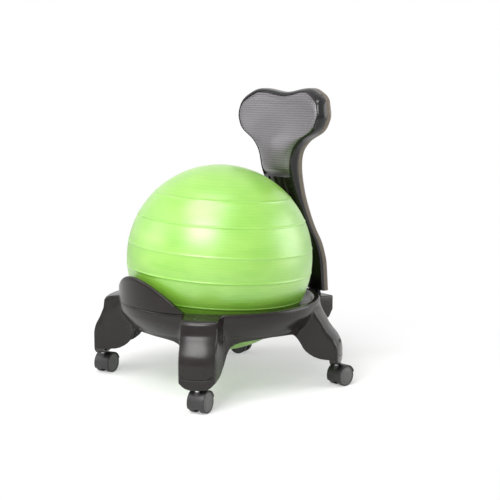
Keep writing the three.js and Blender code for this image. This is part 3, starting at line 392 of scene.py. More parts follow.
@dataclass(frozen=True)
class RibbedMesh(Finish):
    """Knitted polyester spacer mesh over foam, as on office chairs.

    The eye reads fine level ribs with little open cells between them, a low satin gloss on
    the yarn and a soft sheen at grazing angles.
    """

    rib_pitch_mm: float = 6.4  # about 3 mm on the real cloth, drawn coarser so that it shows
    cell_pitch_mm: float = 5.2  # about 3 mm as well
    fuzz_mm: float = 1.2  # a yarn is about 0.3 mm thick, drawn coarser so that it shows
    rib_depth_mm: float = 0.26
    # Colour of the low parts between the ribs: painted shade in the grooves and cells
    groove_shade: str = "#1d1a1e"
    crown: str = "#584f58"

    def dress(self, tree: Tree, place: Socket, shader: Node) -> None:
        """Adds the ribs, the cells between them and the yarn's fuzz.

        Args:
            tree: The material's tree.
            place: The object's coordinates, in metres.
            shader: The shader that is dressed.
        """
        parts = add_node(tree, "ShaderNodeSeparateXYZ", links={0: place}).outputs
        waves = []
        for along, pitch_mm, least in (
            (parts["Z"], self.rib_pitch_mm, 0.0), (parts["X"], self.cell_pitch_mm, 0.7),
        ):
            phase = add_node(tree, "ShaderNodeMath", {
                "operation": "MULTIPLY", 1: 2 * math.pi * per_metre(pitch_mm),
            }, {0: along}).outputs[0]
            wave = add_node(tree, "ShaderNodeMath", {"operation": "SINE"}, {0: phase}).outputs[0]
            waves.append(add_node(tree, "ShaderNodeMapRange", {
                "From Min": -1, "To Min": least,
            }, {"Value": wave}).outputs[0])
        ribs = add_node(tree, "ShaderNodeMath", {"operation": "MULTIPLY"}, {
            0: waves[0], 1: waves[1],
        }).outputs[0]
        fuzz = add_node(tree, "ShaderNodeTexNoise", grains(self.fuzz_mm, 3), {
            "Vector": place,
        }).outputs[0]
        woven = add_node(tree, "ShaderNodeMath", {"operation": "MULTIPLY_ADD", 1: 0.25}, {
            0: fuzz, 2: ribs,
        }).outputs[0]
        # The lower the weave, the nearer its colour comes to the groove's: painted shade in the
        # grooves and cells
        share = add_node(tree, "ShaderNodeMapRange", {
            "From Min": 0.1, "From Max": 1.1,
        }, {"Value": woven}).outputs[0]
        colour = add_node(tree, "ShaderNodeMix", {
            "data_type": "RGBA", 6: linear(self.groove_shade), 7: linear(self.crown),
        }, {0: share}).outputs[2]
        bump = add_node(tree, "ShaderNodeBump", {
            "Strength": 0.8, "Distance": self.rib_depth_mm * MM,
        }, {"Height": woven}).outputs[0]
        tree.links.new(colour, shader.inputs["Base Color"])
        tree.links.new(bump, shader.inputs["Normal"])
        shader.inputs["Sheen Weight"].default_value = 0.4
        shader.inputs["Sheen Roughness"].default_value = 0.35
        shader.inputs["Specular IOR Level"].default_value = 1.0


@dataclass(frozen=True)
class TurnedSteel(Finish):
    """Steel rod or screw, zinc plated or blackened after turning.

    The eye reads a metal with a faint lay of tool marks and small changes of gloss.
    """

    mark_mm: float = 3.0  # about 0.2 mm on the real steel, drawn coarser so that it shows
    mark_depth_mm: float = 0.02
    stain_mm: float = 12

    def dress(self, tree: Tree, place: Socket, shader: Node) -> None:
        """Adds the tool marks and the plating's uneven gloss.

        Args:
            tree: The material's tree.
            place: The object's coordinates, in metres.
            shader: The shader that is dressed.
        """
        flattened = add_node(tree, "ShaderNodeMapping", {
            "Scale": (1, 1, 12),
        }, {"Vector": place}).outputs[0]
        marks = add_node(tree, "ShaderNodeTexNoise", grains(self.mark_mm, 3), {
            "Vector": flattened,
        }).outputs[0]
        stain = add_node(tree, "ShaderNodeTexNoise", grains(self.stain_mm, 2), {
            "Vector": place,
        }).outputs[0]
        gloss = add_node(tree, "ShaderNodeMapRange", {
            "From Min": 0.3, "From Max": 0.7,
            "To Min": self.roughness - 0.06, "To Max": self.roughness + 0.1,
        }, {"Value": stain}).outputs[0]
        bump = add_node(tree, "ShaderNodeBump", {
            "Distance": self.mark_depth_mm * MM,
        }, {"Height": marks}).outputs[0]
        tree.links.new(gloss, shader.inputs["Roughness"])
        tree.links.new(bump, shader.inputs["Normal"])


@dataclass(frozen=True)
class FinishSet:
    """Every finish of the chair."""

    # Injection moulded, low spark-eroded grain: nearly black, with broad soft highlights
    base: Finish = MouldedPlastic(
        "Polypropylene_Charcoal_Grained", "#15100e", 0.24, grain_depth_mm=0.015,
        worn="#1e1815", specular=0.36,
    )
    # From a polished mould: black, with clear and slightly wavy highlights
    rim: Finish = MouldedPlastic(
        "ABS_Black_Polished", "#100e0f", 0.22, grain_mm=3, grain_depth_mm=0.01,
        worn="#1a1818", specular=0.3, coat=0.2,
    )
    # From a finely blasted mould: warm grey, with a soft gloss
    rear: Finish = MouldedPlastic("ABS_Warm_Grey_Satin", "#5c5348", 0.3, worn="#766b5f")
    # Knitted and stretched over foam: dark violet grey, ribbed, with painted shade in the grooves
    pad: Finish = RibbedMesh("Polyester_Spacer_Mesh", "#433d43", 0.4, ior=1.7)
    # Rotation moulded and inflated: lime green, satin, with fine rings
    ball: Finish = BallVinyl(
        "PVC_Lime_Satin", "#86c52c", 0.4, ior=1.53,
        centre=(0, -0.0445, 0.341), axis_tilt=(-0.035, 0.05, 0),
    )
    # Moulded from the same vinyl, undyed: white and soft
    plug: Finish = MouldedPlastic("PVC_White_Moulded", "#e9ece6", 0.5, worn="#f4f5f2")
    # Injection moulded: black, worn grey on its edges
    nylon: Finish = MouldedPlastic(
        "Nylon_Black_Moulded", "#1f1d1e", 0.38, grain_mm=1.0, worn="#3c393a",
    )
    # Injection moulded: grey, with a dull gloss
    disc: Finish = MouldedPlastic(
        "Nylon_Grey_Satin", "#4b4a4a", 0.4, grain_mm=1.0, worn="#5d5b5a",
    )
    # Moulded smooth for a running fit: black, slightly waxy
    sleeve: Finish = MouldedPlastic("Acetal_Black_Smooth", "#1d1c1d", 0.3, worn="#2e2c2d")
    # Turned and plated: bright, a little blue
    zinc: Finish = TurnedSteel("Steel_Zinc_Plated", "#b9bbbd", 0.3, metallic=1.0)
    # Turned and blackened in hot salts: dark, with a dull gloss
    black: Finish = TurnedSteel("Steel_Black_Oxide", "#242426", 0.42, metallic=0.85)


FINISHES = FinishSet()


# Making and finishing pieces


def corner_ring(corners: int) -> BMesh:
    """New bmesh that holds one closed ring of corners, their numbers marked by height.

    Args:
        corners: How many corners the ring has.

    Returns:
        The bmesh; corner number i stands at (1, 0, i).
    """
    bm = bmesh.new()
    made = bmesh.ops.create_circle(bm, cap_ends=False, radius=1, segments=corners)
    for i, vert in enumerate(made["verts"]):
        vert.co = (1, 0, i)
    return bm


def corners_in(made: dict[str, list]) -> list[bmesh.types.BMVert]:
    """Vertices among the parts that a bmesh operator made."""
    return [part for part in made["geom"] if isinstance(part, bmesh.types.BMVert)]


def lofted(
    corners: int, turns: Sequence[float], place: Callable[[int, float], Vector]
) -> BMesh:
    """Solid lofted through sections that stand round the ball's axis.

    A ring of corners is spun half a turn, and each corner of the spun sheet is then moved
    to its place on the real section at its angle.

    Args:
        corners: Corners of each section.
        turns: Angles of the sections round from the front, rising.
        place: Gives the place of a corner from its number and its angle.

    Returns:
        The closed bmesh.
    """
    bm = corner_ring(corners)
    steps = len(turns) - 1
    bmesh.ops.spin(
        bm, geom=bm.verts[:] + bm.edges[:], cent=(0, 0, 0), axis=(0, 0, 1),
        dvec=(0, 0, 0), angle=math.pi, steps=steps, use_merge=False, use_duplicate=False,
    )
    for vert in bm.verts:
        turn = math.atan2(vert.co.y, vert.co.x) % (2 * math.pi)
        index = round(turn / math.pi * steps) % (steps + 1)
        vert.co = place(round(vert.co.z), turns[index])
    bmesh.ops.holes_fill(bm, edges=[e for e in bm.edges if e.is_boundary], sides=0)
    bmesh.ops.recalc_face_normals(bm, faces=bm.faces)
    return bm


def turned(
    outline: Sequence[Point], start: Vector, direction: Vector, segments: int = 32
) -> BMesh:
    """Turned solid about the line from start along direction.

    Args:
        outline: Points as (radius, distance along the line), joined in a closed loop.
        start: The line's start.
        direction: Which way it runs.
        segments: Steps round the line.

    Returns:
        The closed bmesh.
    """
    bm = bmesh.new()
    loop = [bm.verts.new((radius, 0, along)) for radius, along in outline]
    for one, other in zip(loop, loop[1:] + loop[:1]):
        bm.edges.new((one, other))
    bmesh.ops.spin(
        bm, geom=bm.verts[:] + bm.edges[:], cent=(0, 0, 0), axis=(0, 0, 1),
        dvec=(0, 0, 0), angle=2 * math.pi, steps=segments, use_merge=True,
        use_duplicate=False,
    )
    bmesh.ops.remove_doubles(bm, verts=bm.verts, dist=1e-4)
    slivers = [f for f in bm.faces if f.calc_area() < SLIVER_AREA]
    bmesh.ops.delete(bm, geom=slivers, context="FACES")
    turn = UP.rotation_difference(direction.normalized()).to_matrix()
    bmesh.ops.transform(bm, matrix=Matrix.Translation(start) @ turn.to_4x4(), verts=bm.verts)
    bmesh.ops.recalc_face_normals(bm, faces=bm.faces)
    return bm


def extruded(outline: Sequence[Vector], push: Vector, rounding: float = 0.0) -> BMesh:
    """Flat outline pushed into a plate, with rounded edges.

    Args:
        outline: The flat outline's corners, in order.
        push: How far and which way it is pushed.
        rounding: Radius of the edges.

    Returns:
        The closed bmesh.
    """
    bm = bmesh.new()
    face = bm.faces.new([bm.verts.new(corner) for corner in outline])
    made = bmesh.ops.extrude_face_region(bm, geom=[face])
    bmesh.ops.translate(bm, vec=push, verts=corners_in(made))
    bmesh.ops.recalc_face_normals(bm, faces=bm.faces)
    if rounding:
        sharp = [e for e in bm.edges if e.calc_face_angle(0) > math.radians(SHARP_DEGREES)]
        bmesh.ops.bevel(
            bm, geom=sharp, offset=rounding, segments=3, profile=0.5, affect="EDGES",
            material=-1, clamp_overlap=True,
        )
    return bm


def joined(*meshes: BMesh) -> BMesh:
    """One bmesh that holds the shells of several; the others are freed.

    Args:
        meshes: The bmeshes; the first becomes the whole.

    Returns:
        The whole.
    """
    whole = meshes[0]
    for other in meshes[1:]:
        mesh = bpy.data.meshes.new("joining")
        other.to_mesh(mesh)
        whole.from_mesh(mesh)
        bpy.data.meshes.remove(mesh)
        other.free()
    return whole


def cut(bm: BMesh, *cutters: BMesh) -> BMesh:
    """Cuts the shapes of cutters out of a closed bmesh, with Blender's own boolean.

    Args:
        bm: The solid that is cut.
        cutters: The solids that are taken away; they are freed.

    Returns:
        A new bmesh with the rest.
    """
    objects = []
    for i, shape in enumerate((bm, *cutters)):
        mesh = bpy.data.meshes.new(f"cutting_{i}")
        shape.to_mesh(mesh)
        shape.free()
        objects.append(bpy.data.objects.new(f"cutting_{i}", mesh))
        bpy.context.scene.collection.objects.link(objects[-1])
    for cutter in objects[1:]:
        taken = objects[0].modifiers.new("Cut", "BOOLEAN")
        taken.operation, taken.solver, taken.object = "DIFFERENCE", "EXACT", cutter
    graph = bpy.context.evaluated_depsgraph_get()
    mesh = bpy.data.meshes.new_from_object(objects[0].evaluated_get(graph))
    rest = bmesh.new()
    rest.from_mesh(mesh)
    bpy.data.meshes.remove(mesh)
    for done in objects:
        old = done.data
        bpy.data.objects.remove(done)
        bpy.data.meshes.remove(old)
    return rest


def piece(
    name: str, bm: BMesh, finish: Finish, body: str, slot: str, node: str,
    crease: float = 35.0,
) -> bpy.types.Object:
    """Finishes one piece: its place, its mesh, its material and the body it rides on.

    Args:
        name: The object's name.
        bm: Its shape in the seat's frame, in millimetres; it is freed.
        finish: What it is made of.
        body: The body that it moves with.
        slot: The name of a material slot; it is not used.
        node: The solid that it stands for.
        crease: Edges sharper than this stay sharp, in degrees.

    Returns:
        The object.
    """
    bmesh.ops.translate(bm, vec=SEAT_SHIFT, verts=bm.verts)
    bmesh.ops.scale(bm, vec=(MM, MM, MM), verts=bm.verts)
    mesh = bpy.data.meshes.new(name)
    bm.to_mesh(mesh)
    bm.free()
    mesh.shade_smooth()
    mesh.set_sharp_from_angle(angle=math.radians(crease))
    mesh.materials.append(finish.material())
    made = bpy.data.objects.new(name, mesh)
    bpy.context.scene.collection.objects.link(made)
    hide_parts(node)
    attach(made, body)
    log.info("%s: %d faces, %s", name, len(mesh.polygons), finish.name)
    return made


# Screws and bolts


@dataclass(frozen=True)
class ScrewSize:
    """Sizes of one kind of screw."""

    shank_radius: float
    head_radius: float
    head_depth: float

    @property
    def sink(self) -> float:
        """Depth of the counterbore that its head needs."""
        return self.head_depth + 2 * FIT_GAP


FRAME_BOLT = ScrewSize(4, 7, 4)
SHELL_SCREW = ScrewSize(2, 4, 2.5)
JOIN_BOLT = ScrewSize(3, 6, 4)
STOP_SCREW = ScrewSize(2, 3.5, 2.5)


@dataclass(frozen=True)
class SocketScrew:
    """Socket-head screw that is driven forward, its head in a counterbore."""

    name: str
    size: ScrewSize
    seat: Vector
    length: float

    def room(self) -> BMesh:
        """Counterbore and hole that the screw needs.

        Returns:
            The closed bmesh of the room.
        """
        head, hole = self.size.head_radius + FIT_GAP, self.size.shank_radius + FIT_GAP
        near, far = -self.size.sink - CUT_PAST, self.length + CUT_PAST
        return turned(
            [(0, near), (head, near), (head, 0), (hole, 0), (hole, far), (0, far)],
            self.seat, FORWARD,
        )

    def build(self) -> None:
        """Makes the screw, with a rounded rim and a hexagonal recess in its head."""
        shank, head, depth = self.size.shank_radius, self.size.head_radius, self.size.head_depth
        rim, end = depth * 0.16, self.length
        shape = turned([
            (0, -depth), (head - rim, -depth), (head - rim * 0.3, rim * 0.3 - depth),
            (head, rim - depth), (head, 0), (shank, 0), (shank, end - shank / 2),
            (shank / 2, end), (0, end),
        ], self.seat - FORWARD * FIT_GAP, FORWARD, segments=40)
        key = bmesh.new()
        bmesh.ops.create_cone(
            key, cap_ends=True, segments=6, radius1=head / 2, radius2=head / 2,
            depth=depth * 1.3,
            matrix=Matrix.Translation(self.seat - FORWARD * (depth + FIT_GAP))
            @ Matrix.Rotation(math.pi / 2, 4, "X"),
        )
        piece(f"{self.name}_body", cut(shape, key), FINISHES.black, "base", "fastener_steel",
              self.name)


@dataclass(frozen=True)
class PanScrew:
    """Pan-head screw; its seat is where the underside of the head lies on its axis."""

    name: str
    size: ScrewSize
    seat: Vector
    direction: Vector
    length: float

    def build(self) -> None:
        """Makes the screw, its head domed and the end of its shank eased."""
        shank, head, depth = self.size.shank_radius, self.size.head_radius, self.size.head_depth
        shape = turned([
            (0, -depth), (head * 0.72, -depth), (head * 0.93, -depth * 0.8),
            (head, -depth * 0.45), (head, 0), (shank, 0), (shank, self.length - shank * 0.4),
            (shank * 0.6, self.length), (0, self.length),
        ], self.seat, self.direction, segments=36)
        piece(f"{self.name}_body", shape, FINISHES.black, "base", "fastener_steel", self.name)


# The base


class Part(Enum):
    """Which stretch of the moulding's section a corner belongs to."""

    LOWER = "lower outside"
    UPPER = "upper outside"
    FOOT = "foot"
    TOP = "top"
    EDGE = "edge"
    INSIDE = "inside"


@dataclass(frozen=True)
class Station:
    """One corner of the moulding's section.

    On the lower walls, first is the share of the way from the wall's turn to the lower
    edge, and on the upper ones the height as a share of the ring's; second is the distance
    in from the outside. On the edge they are the shares across and up it, and at the top a
    radius and a height.
    """

    part: Part
    first: float
    second: float = 0.0


@dataclass(frozen=True)
class Leg:
    """One leg: where its caster's stem stands and the outline that it follows."""

    name: str
    x: float
    y: float
    reach: float
    outline: ShareCurve

    @property
    def angle(self) -> float:
        """Angle of the leg round from the front."""
        return math.atan2(self.x, -self.y)

    @property
    def along(self) -> float:
        """Distance of the stem from the ball's axis."""
        return math.hypot(self.x, self.y)


# How far out the legs and the ring stand: share of the ring's height, share of the reach
FRONT_OUTLINE = (
    (0.243, 0.983), (0.349, 0.998), (0.511, 0.998), (0.591, 0.99), (0.66, 0.972),
    (0.706, 0.955), (0.787, 0.929), (0.83, 0.918), (0.881, 0.914), (0.93, 0.909),
    (0.95, 0.902), (0.966, 0.889), (1, 0.85),
)
REAR_OUTLINE = (
    (0.243, 0.988), (0.34, 1), (0.426, 1), (0.502, 0.991), (0.587, 0.962),
    (0.655, 0.92), (0.745, 0.858), (0.843, 0.793), (0.915, 0.763), (0.97, 0.74), (1, 0.71),
)
WALL_OUTLINE = (
    (0.243, 0.82), (0.64, 0.86), (0.702, 0.887), (0.745, 0.92), (0.795, 0.953),
    (0.843, 0.978), (0.893, 0.995), (0.945, 1), (1, 1),
)
# The lower edge: degrees from a leg's middle, share of the rise from its foot to the arch
EDGE_OUTLINE = (
    (0, 0), (2.7, 0.005), (4.5, 0.03), (6, 0.09), (7.2, 0.165), (8, 0.19), (8.8, 0.195),
    (9.6, 0.215), (10.5, 0.28), (11.3, 0.36), (12.2, 0.45), (13.5, 0.62), (15, 0.75),
    (17, 0.84), (21, 0.92), (27, 0.96), (42, 1),
)


def pair_of_legs(
    end: str, half_track: float, y: float, reach: float, outline: Sequence[Point]
) -> list[Leg]:
    """The right and the left leg of one end.

    Args:
        end: The end's name.
        half_track: How far to each side their stems stand.
        y: Where along the chair their stems stand.
        reach: How far out the legs reach.
        outline: Their outer face, from the floor up.

    Returns:
        The two legs.
    """
    curve = ShareCurve(outline)
    return [
        Leg(f"{end}_{side}", x, y, reach, curve)
        for side, x in (("right", -half_track), ("left", half_track))
    ]


@dataclass
class RingBase:
    """The ring that carries the ball, its four legs and the socket, in two mouldings."""

    ring_radius: float = RING_RADIUS
    ring_height: float = RING_HEIGHT
    wall: float = 5
    land_width: float = 11
    ring_edge: float = 4
    inner_drop: float = 6.5
    bowl_radius: float = 252
    seat_radius: float = 212
    lip_radius: float = 201.5
    lip_depth: float = 22
    ball_radius: float = BALL_RADIUS
    ball_height: float = BALL_HEIGHT
    leg_half_width: float = 48
    leg_corner: float = 30
    leg_fillet: float = 90
    ring_fillet: float = 30
    leg_bottom: float = LEG_BOTTOM
    arch_height: float = 161
    seam_degrees: float = 58
    seam_groove: float = 0.9
    seam_ease: float = 1.4
    turn_share: float = 0.745
    inside_share: float = 0.93
    shoulder_share: float = 0.966
    long_edge: float = 30  # a shoulder's width at which its edge turns inward at once
    foot_round: float = 1.1
    foot_flat: float = 0.4
    crease: tuple[float, float, float] = (0.752, 0.766, 0.78)
    crease_depth: float = 1.4
    crease_ends: Point = (6, 8)
    # Within so many degrees of a leg, the sections stand so many degrees apart
    turn_steps: Sequence[Point] = ((10, 0.55), (19, 0.75), (360, 2.0))
    toe_floor_start: float = 0.6
    toe_floor_depth: float = 7
    toe_floor_reach: float = 14
    boss_start: float = 3
    boss_top: float = 129
    boss_radius: float = 12.3
    bore_radius: float = 8.8
    bore_span: Point = (40, 100)
    rib_depth: float = 3
    rib_starts: Point = (4, 32)
    rib_top: float = 104
    rib_short: float = 6
    flange_depth: float = 4
    flange_span: Point = (130, 192)
    flange_slope: float = 34
    flange_reach: float = 259
    join_bolt_reach: float = 222
    join_bolt_heights: Point = (140, 182)
    join_bolt_end: float = 8
    stop_screw_degrees: float = 13.4
    stop_screw_bite: float = 11
    socket_half_width: float = 45
    socket_back: float = POST_REACH
    socket_top: float = 203
    socket_depth: float = 65
    socket_chamfer: Point = (14, 24)
    socket_root: float = 258
    socket_edge: float = 4.5
    legs: list[Leg] = field(default_factory=lambda: [
        *pair_of_legs("front", 247, -232, 356, FRONT_OUTLINE),
        *pair_of_legs("rear", 240, 217, 338, REAR_OUTLINE),
    ])

    def __post_init__(self) -> None:
        """Works out the curves and the corners of a section."""
        self.wall_curve = ShareCurve(WALL_OUTLINE)
        self.edge_curve = ShareCurve(EDGE_OUTLINE)
        self.turn_height = self.turn_share * self.ring_height
        self.stations = self.section()

    def away(self, leg: Leg, angle: float) -> float:
        """Angle between a leg and a direction."""
        turn = abs(angle - leg.angle) % (2 * math.pi)
        return min(turn, 2 * math.pi - turn)

    def leg_radius(self, leg: Leg, angle: float, height: float) -> float:
        """How far one leg reaches from the ball's axis at an angle and a height.

        Args:
            leg: The leg.
            angle: The direction, round from the front.
            height: The height.

        Returns:
            The reach, or 0 well away from the leg.
        """
        away = self.away(leg, angle)
        if away >= math.pi / 3:
            return 0.0
        face = leg.outline(height / self.ring_height) * leg.reach * math.cos(away)
        # The flank is no further than twice the leg's reach, straight out along the leg
        least = self.leg_half_width / (2 * leg.reach)
        flank = self.leg_half_width / max(math.sin(away), least)
        return blend_min(face, flank, self.leg_corner)

    def skin_radius(self, angle: float, height: float) -> float:
        """Outer surface of the base, as a radius at an angle and a height.

        Args:
            angle: The direction, round from the front.
            height: The height.

        Returns:
            The radius.
        """
        share = height / self.ring_height
        fillet = mix(
            self.leg_fillet, self.ring_fillet,
            smooth(share, self.turn_share, self.shoulder_share),
        )
        radius = self.wall_curve(share) * self.ring_radius
        for leg in self.legs:
            radius = blend_max(radius, self.leg_radius(leg, angle, height), fillet)
        return radius

    def skin(self, angle: float, height: float, depth: float = 0.0) -> Vector:
        """Point of the outer surface, or of the same surface moved in by a depth.

        Args:
            angle: The direction, round from the front.
            height: The height on the surface.
            depth: How far in the point lies, square to the surface.

        Returns:
            The point.
        """
        here = spot(angle, self.skin_radius(angle, height), height)
        if not depth:
            return here
        # The surface's own directions, from points a little to each side
        turn, step = math.radians(0.4), 0.5
        across = (
            spot(angle + turn, self.skin_radius(angle + turn, height), height)
            - spot(angle - turn, self.skin_radius(angle - turn, height), height)
        )
        upward = (
            spot(angle, self.skin_radius(angle, height + step), height + step)
            - spot(angle, self.skin_radius(angle, height - step), height - step)
        )
        return here - across.cross(upward).normalized() * depth

    def edge_height(self, angle: float) -> float:
        """Height of the base's lower edge."""
        away = min(math.degrees(self.away(leg, angle)) for leg in self.legs)
        return mix(self.leg_bottom, self.arch_height, self.edge_curve(away))

    def seat_height(self, radius: float) -> float:
        """Height of the bowl under the ball."""
        reach = self.ball_radius + SEAT_GAP
        return self.ball_height - math.sqrt(reach * reach - radius * radius)

    def section(self) -> list[Station]:
        """Corners of the moulding's section, up the outside and down the inside.

        Returns:
            The corners, in order round the section.
        """
        top, drop, seat = self.ring_height, self.wall, self.seat_height(self.seat_radius)
        land = self.ring_radius - self.ring_edge
        inner = land - self.land_width
        root = mix(self.seat_radius, self.lip_radius, 3 / 4)
        foot = seat - self.lip_depth
        low = sorted({i / 16 for i in range(1, 17)} | set(self.crease), reverse=True)
        high = [mix(self.turn_share, self.shoulder_share, i / 18) for i in range(19)]
        outside = [Station(Part.LOWER, share) for share in low]
        outside += [Station(Part.UPPER, share) for share in high]
        edge = [Station(Part.EDGE, across, rise) for across, rise in quarter(6)[1:]]
        rest, seated = mix(self.seat_radius, root, 0.5), self.seat_height(root)
        crown = [
            Station(Part.TOP, radius, height) for radius, height in (
                # The land, then over its inner edge into the bowl
                (mix(land, inner, 0.5), top), (inner + 1, top), (inner - 1.5, top - 0.5),
                (mix(inner, self.bowl_radius, 0.6), top - 2.2),
                (self.bowl_radius + 0.8, top - 4.6), (self.bowl_radius - 0.4, top - 6.9),
                (mix(self.bowl_radius, self.seat_radius, 0.07), top - 10.2),
                # The bowl, down to where the ball rests
                *((mix(self.bowl_radius, self.seat_radius, share),
                   mix(top - self.inner_drop, seat, 0.3 + 0.7 * (share - 0.15) / 0.85))
                  for share in (0.15, 0.3, 0.5, 0.7, 0.85)),
                (self.seat_radius, seat),
                (rest, self.seat_height(rest)),
                # The lip under the ball, rounded at its root and at its foot
                (root, seated), (self.lip_radius + 0.6, seated - drop * 0.6),
                (self.lip_radius, seated - drop * 1.3), (self.lip_radius, foot + 1.5),
                (self.lip_radius + 0.5, foot + 0.4), (self.lip_radius + 1.6, foot),
                (root + drop / 2 - 1, foot), (root + drop / 2, foot + 1.2),
                # The underside, back out to the wall
                (root + drop, seated - drop / 2),
                (self.seat_radius + drop * 0.7, seat - drop * 0.8),
                (self.bowl_radius - drop / 2, mix(top - self.inner_drop, seat, 0.3) - drop),
                (self.bowl_radius + drop / 4, top - self.inner_drop - drop),
                (inner, top - drop), (land - drop / 5, top - drop),
            )
        ]
        inside = [Station(Part.INSIDE, mix(self.inside_share, self.turn_share, i / 6), drop)
                  for i in range(7)]
        inside += [Station(Part.FOOT, i / 12, drop) for i in range(1, 13)]
        under = [Station(Part.FOOT, 1.0, drop * share) for share in (0.9, 0.7, 0.3, 0.1)]
        return outside + edge + crown + inside + under

    def corner(self, index: int, angle: float) -> Vector:
        """Place of one corner of the section at an angle.

        Args:
            index: The corner's number.
            angle: The section's direction.

        Returns:
            The place.
        """
        station = self.stations[index]
        edge = self.edge_height(angle)
        if station.part is Part.TOP:
            return spot(angle, station.first, station.second)
        if station.part is Part.EDGE:
            start = self.shoulder_share * self.ring_height
            land, reach = self.ring_radius - self.ring_edge, self.skin_radius(angle, start)
            # Over a leg the edge is long, so it starts inward at once
            long = smooth(reach - land, 2 * self.ring_edge, self.long_edge)
            across = mix(land, reach, station.first ** (1 + 2 * long))
            return spot(angle, across, mix(start, self.ring_height, station.second))
        if station.part is Part.INSIDE:
            return self.skin(angle, station.first * self.ring_height, station.second)
        if station.part is Part.UPPER:
            return self.skin(angle, station.first * self.ring_height)
        height = mix(self.turn_height, edge, station.first)
        if station.first == 1.0:
            out = abs(2 * station.second / self.wall - 1) - self.foot_flat
            height += self.foot_round * (max(0.0, out) / (1 - self.foot_flat)) ** 2
        depth = station.second
        if station.first == self.crease[1]:
            away = min(math.degrees(self.away(leg, angle)) for leg in self.legs)
            depth += self.crease_depth * (1 - smooth(away, *self.crease_ends))
        return self.skin(angle, height, depth)

    def turns(self, start: float, end: float) -> list[float]:
        """Angles of the sections from start to end, closest where a leg turns.

        Args:
            start: The first angle.
            end: The last angle.

        Returns:
            The angles, rising.
        """
        angles, here = [start], start
        while here < end:
            away = min(math.degrees(self.away(leg, here)) for leg in self.legs)
            step = next(step for near, step in self.turn_steps if away < near)
            here = min(end, here + math.radians(step))
            angles.append(here)
        if angles[-1] - angles[-2] < math.radians(0.1):
            angles.pop(-2)
        return angles

    def moulding(self, start: float, end: float) -> BMesh:
        """One moulding of the ring between two angles, its ends eased for the seam.

        Args:
            start: The angle of its first end.
            end: The angle of its other end.

        Returns:
            The closed bmesh.
        """
        gap = FIT_GAP / 2 / self.ring_radius
        turns = self.turns(start + gap, end - gap)
        ease = self.seam_ease / self.ring_radius
        turns = [turns[0], turns[0] + ease, *turns[1:-1], turns[-1] - ease, turns[-1]]
        ends = (turns[0], turns[-1])

        def place(index: int, angle: float) -> Vector:
            """Place of a corner, drawn in a little at the seam.

            Args:
                index: The corner's number.
                angle: The section's direction.

            Returns:
                The place.
            """
            here = self.corner(index, angle)
            part = self.stations[index].part
            if angle in ends and part in (Part.LOWER, Part.UPPER, Part.EDGE):
                return here - Vector((here.x, here.y, 0)).normalized() * self.seam_groove
            return here

        return lofted(len(self.stations), turns, place)

    def toe(self, leg: Leg) -> list[BMesh]:
        """Floor, boss and ribs inside a leg's toe.

        Args:
            leg: The leg.

        Returns:
            The closed bmeshes of the floor, the boss and the two ribs.
        """
        floor = bmesh.new()
        bmesh.ops.create_grid(floor, x_segments=22, y_segments=8, size=0.5)
        half = math.asin((self.leg_half_width - self.wall / 2) / leg.reach)
        inner = leg.along - self.toe_floor_reach
        for vert in floor.verts:
            angle = leg.angle + vert.co.x * 2 * half
            edge = self.edge_height(angle)
            outer = self.skin_radius(angle, edge + 1) - self.wall / 2
            start = min(inner / math.cos(angle - leg.angle), outer - 1)
            radius = mix(start, outer, vert.co.y + 0.5)
            vert.co = spot(angle, radius, edge + self.toe_floor_start)
        made = bmesh.ops.extrude_face_region(floor, geom=floor.faces[:])
        rise = self.toe_floor_depth - self.toe_floor_start
        bmesh.ops.translate(floor, vec=(0, 0, rise), verts=corners_in(made))
        bmesh.ops.recalc_face_normals(floor, faces=floor.faces)
        stem, (low, high) = Vector((leg.x, leg.y, 0)), self.bore_span
        bore = turned([
            (0, low), (self.bore_radius, low), (self.bore_radius, high), (0, high),
        ], stem, UP)
        foot = self.leg_bottom + self.boss_start
        height = self.boss_top - foot
        boss = turned([
            (self.bore_radius, 0), (self.boss_radius, 0), (self.boss_radius - 0.4, height - 1),
            (self.boss_radius - 1.4, height), (self.bore_radius + 1, height),
            (self.bore_radius, height - 1),
        ], stem + UP * foot, UP)
        outward = stem.normalized()
        sideways, back = Vector((-outward.y, outward.x, 0)), outward * self.rib_depth / 2
        ribs = []
        for side in (-1, 1):
            near = stem + sideways * side * (self.boss_radius - 1) - back
            reach = self.leg_half_width - self.wall - self.rib_short
            far = stem + sideways * side * reach - back
            outline = [
                near + UP * (self.leg_bottom + self.rib_starts[0]),
                far + UP * (self.leg_bottom + self.rib_starts[1]),
                far + UP * self.rib_top, near + UP * self.rib_top,
            ]
            ribs.append(extruded(outline, outward * self.rib_depth, rounding=0.5))
        return [cut(floor, bore), boss, *ribs]

    def seam(self, side: int) -> tuple[float, Vector]:
        """Angle of the seam on a side, and the level direction that crosses it rearwards."""
        angle = side * math.radians(self.seam_degrees)
        return angle, Vector((math.cos(angle), math.sin(angle), 0)) * side

    def lug(self, side: int, forward: bool) -> BMesh:
        """Plate beside the seam that the joining bolts pass through.

        Args:
            side: -1 for the right seam and 1 for the left.
            forward: Whether it is the front moulding's plate.

        Returns:
            The closed bmesh.
        """
        angle, across = self.seam(side)
        out, way = spot(angle, 1, 0), -1 if forward else 1
        start = across * (FIT_GAP / 2 * way)
        inner, (low, high) = self.lip_radius + self.wall, self.flange_span
        outline = [
            out * reach + start + UP * height for reach, height in (
                (inner, low), (self.flange_reach, low + self.flange_slope),
                (self.flange_reach, high), (inner, high),
            )
        ]
        return extruded(outline, across * self.flange_depth * way, rounding=0.8)

    def socket(self) -> BMesh:
        """Block on the rear of the ring that the backrest's bar goes down into.

        Returns:
            The closed bmesh.
        """
        foot = self.socket_top - self.socket_depth
        back, (chamfer, rise) = self.socket_back, self.socket_chamfer
        left = -self.socket_half_width
        outline = [
            Vector((left, y, z)) for y, z in (
                (self.socket_root, foot), (back - chamfer, foot), (back, foot + rise),
                (back, self.socket_top), (self.socket_root, self.socket_top),
            )
        ]
        return extruded(outline, Vector((2 * self.socket_half_width, 0, 0)), self.socket_edge)

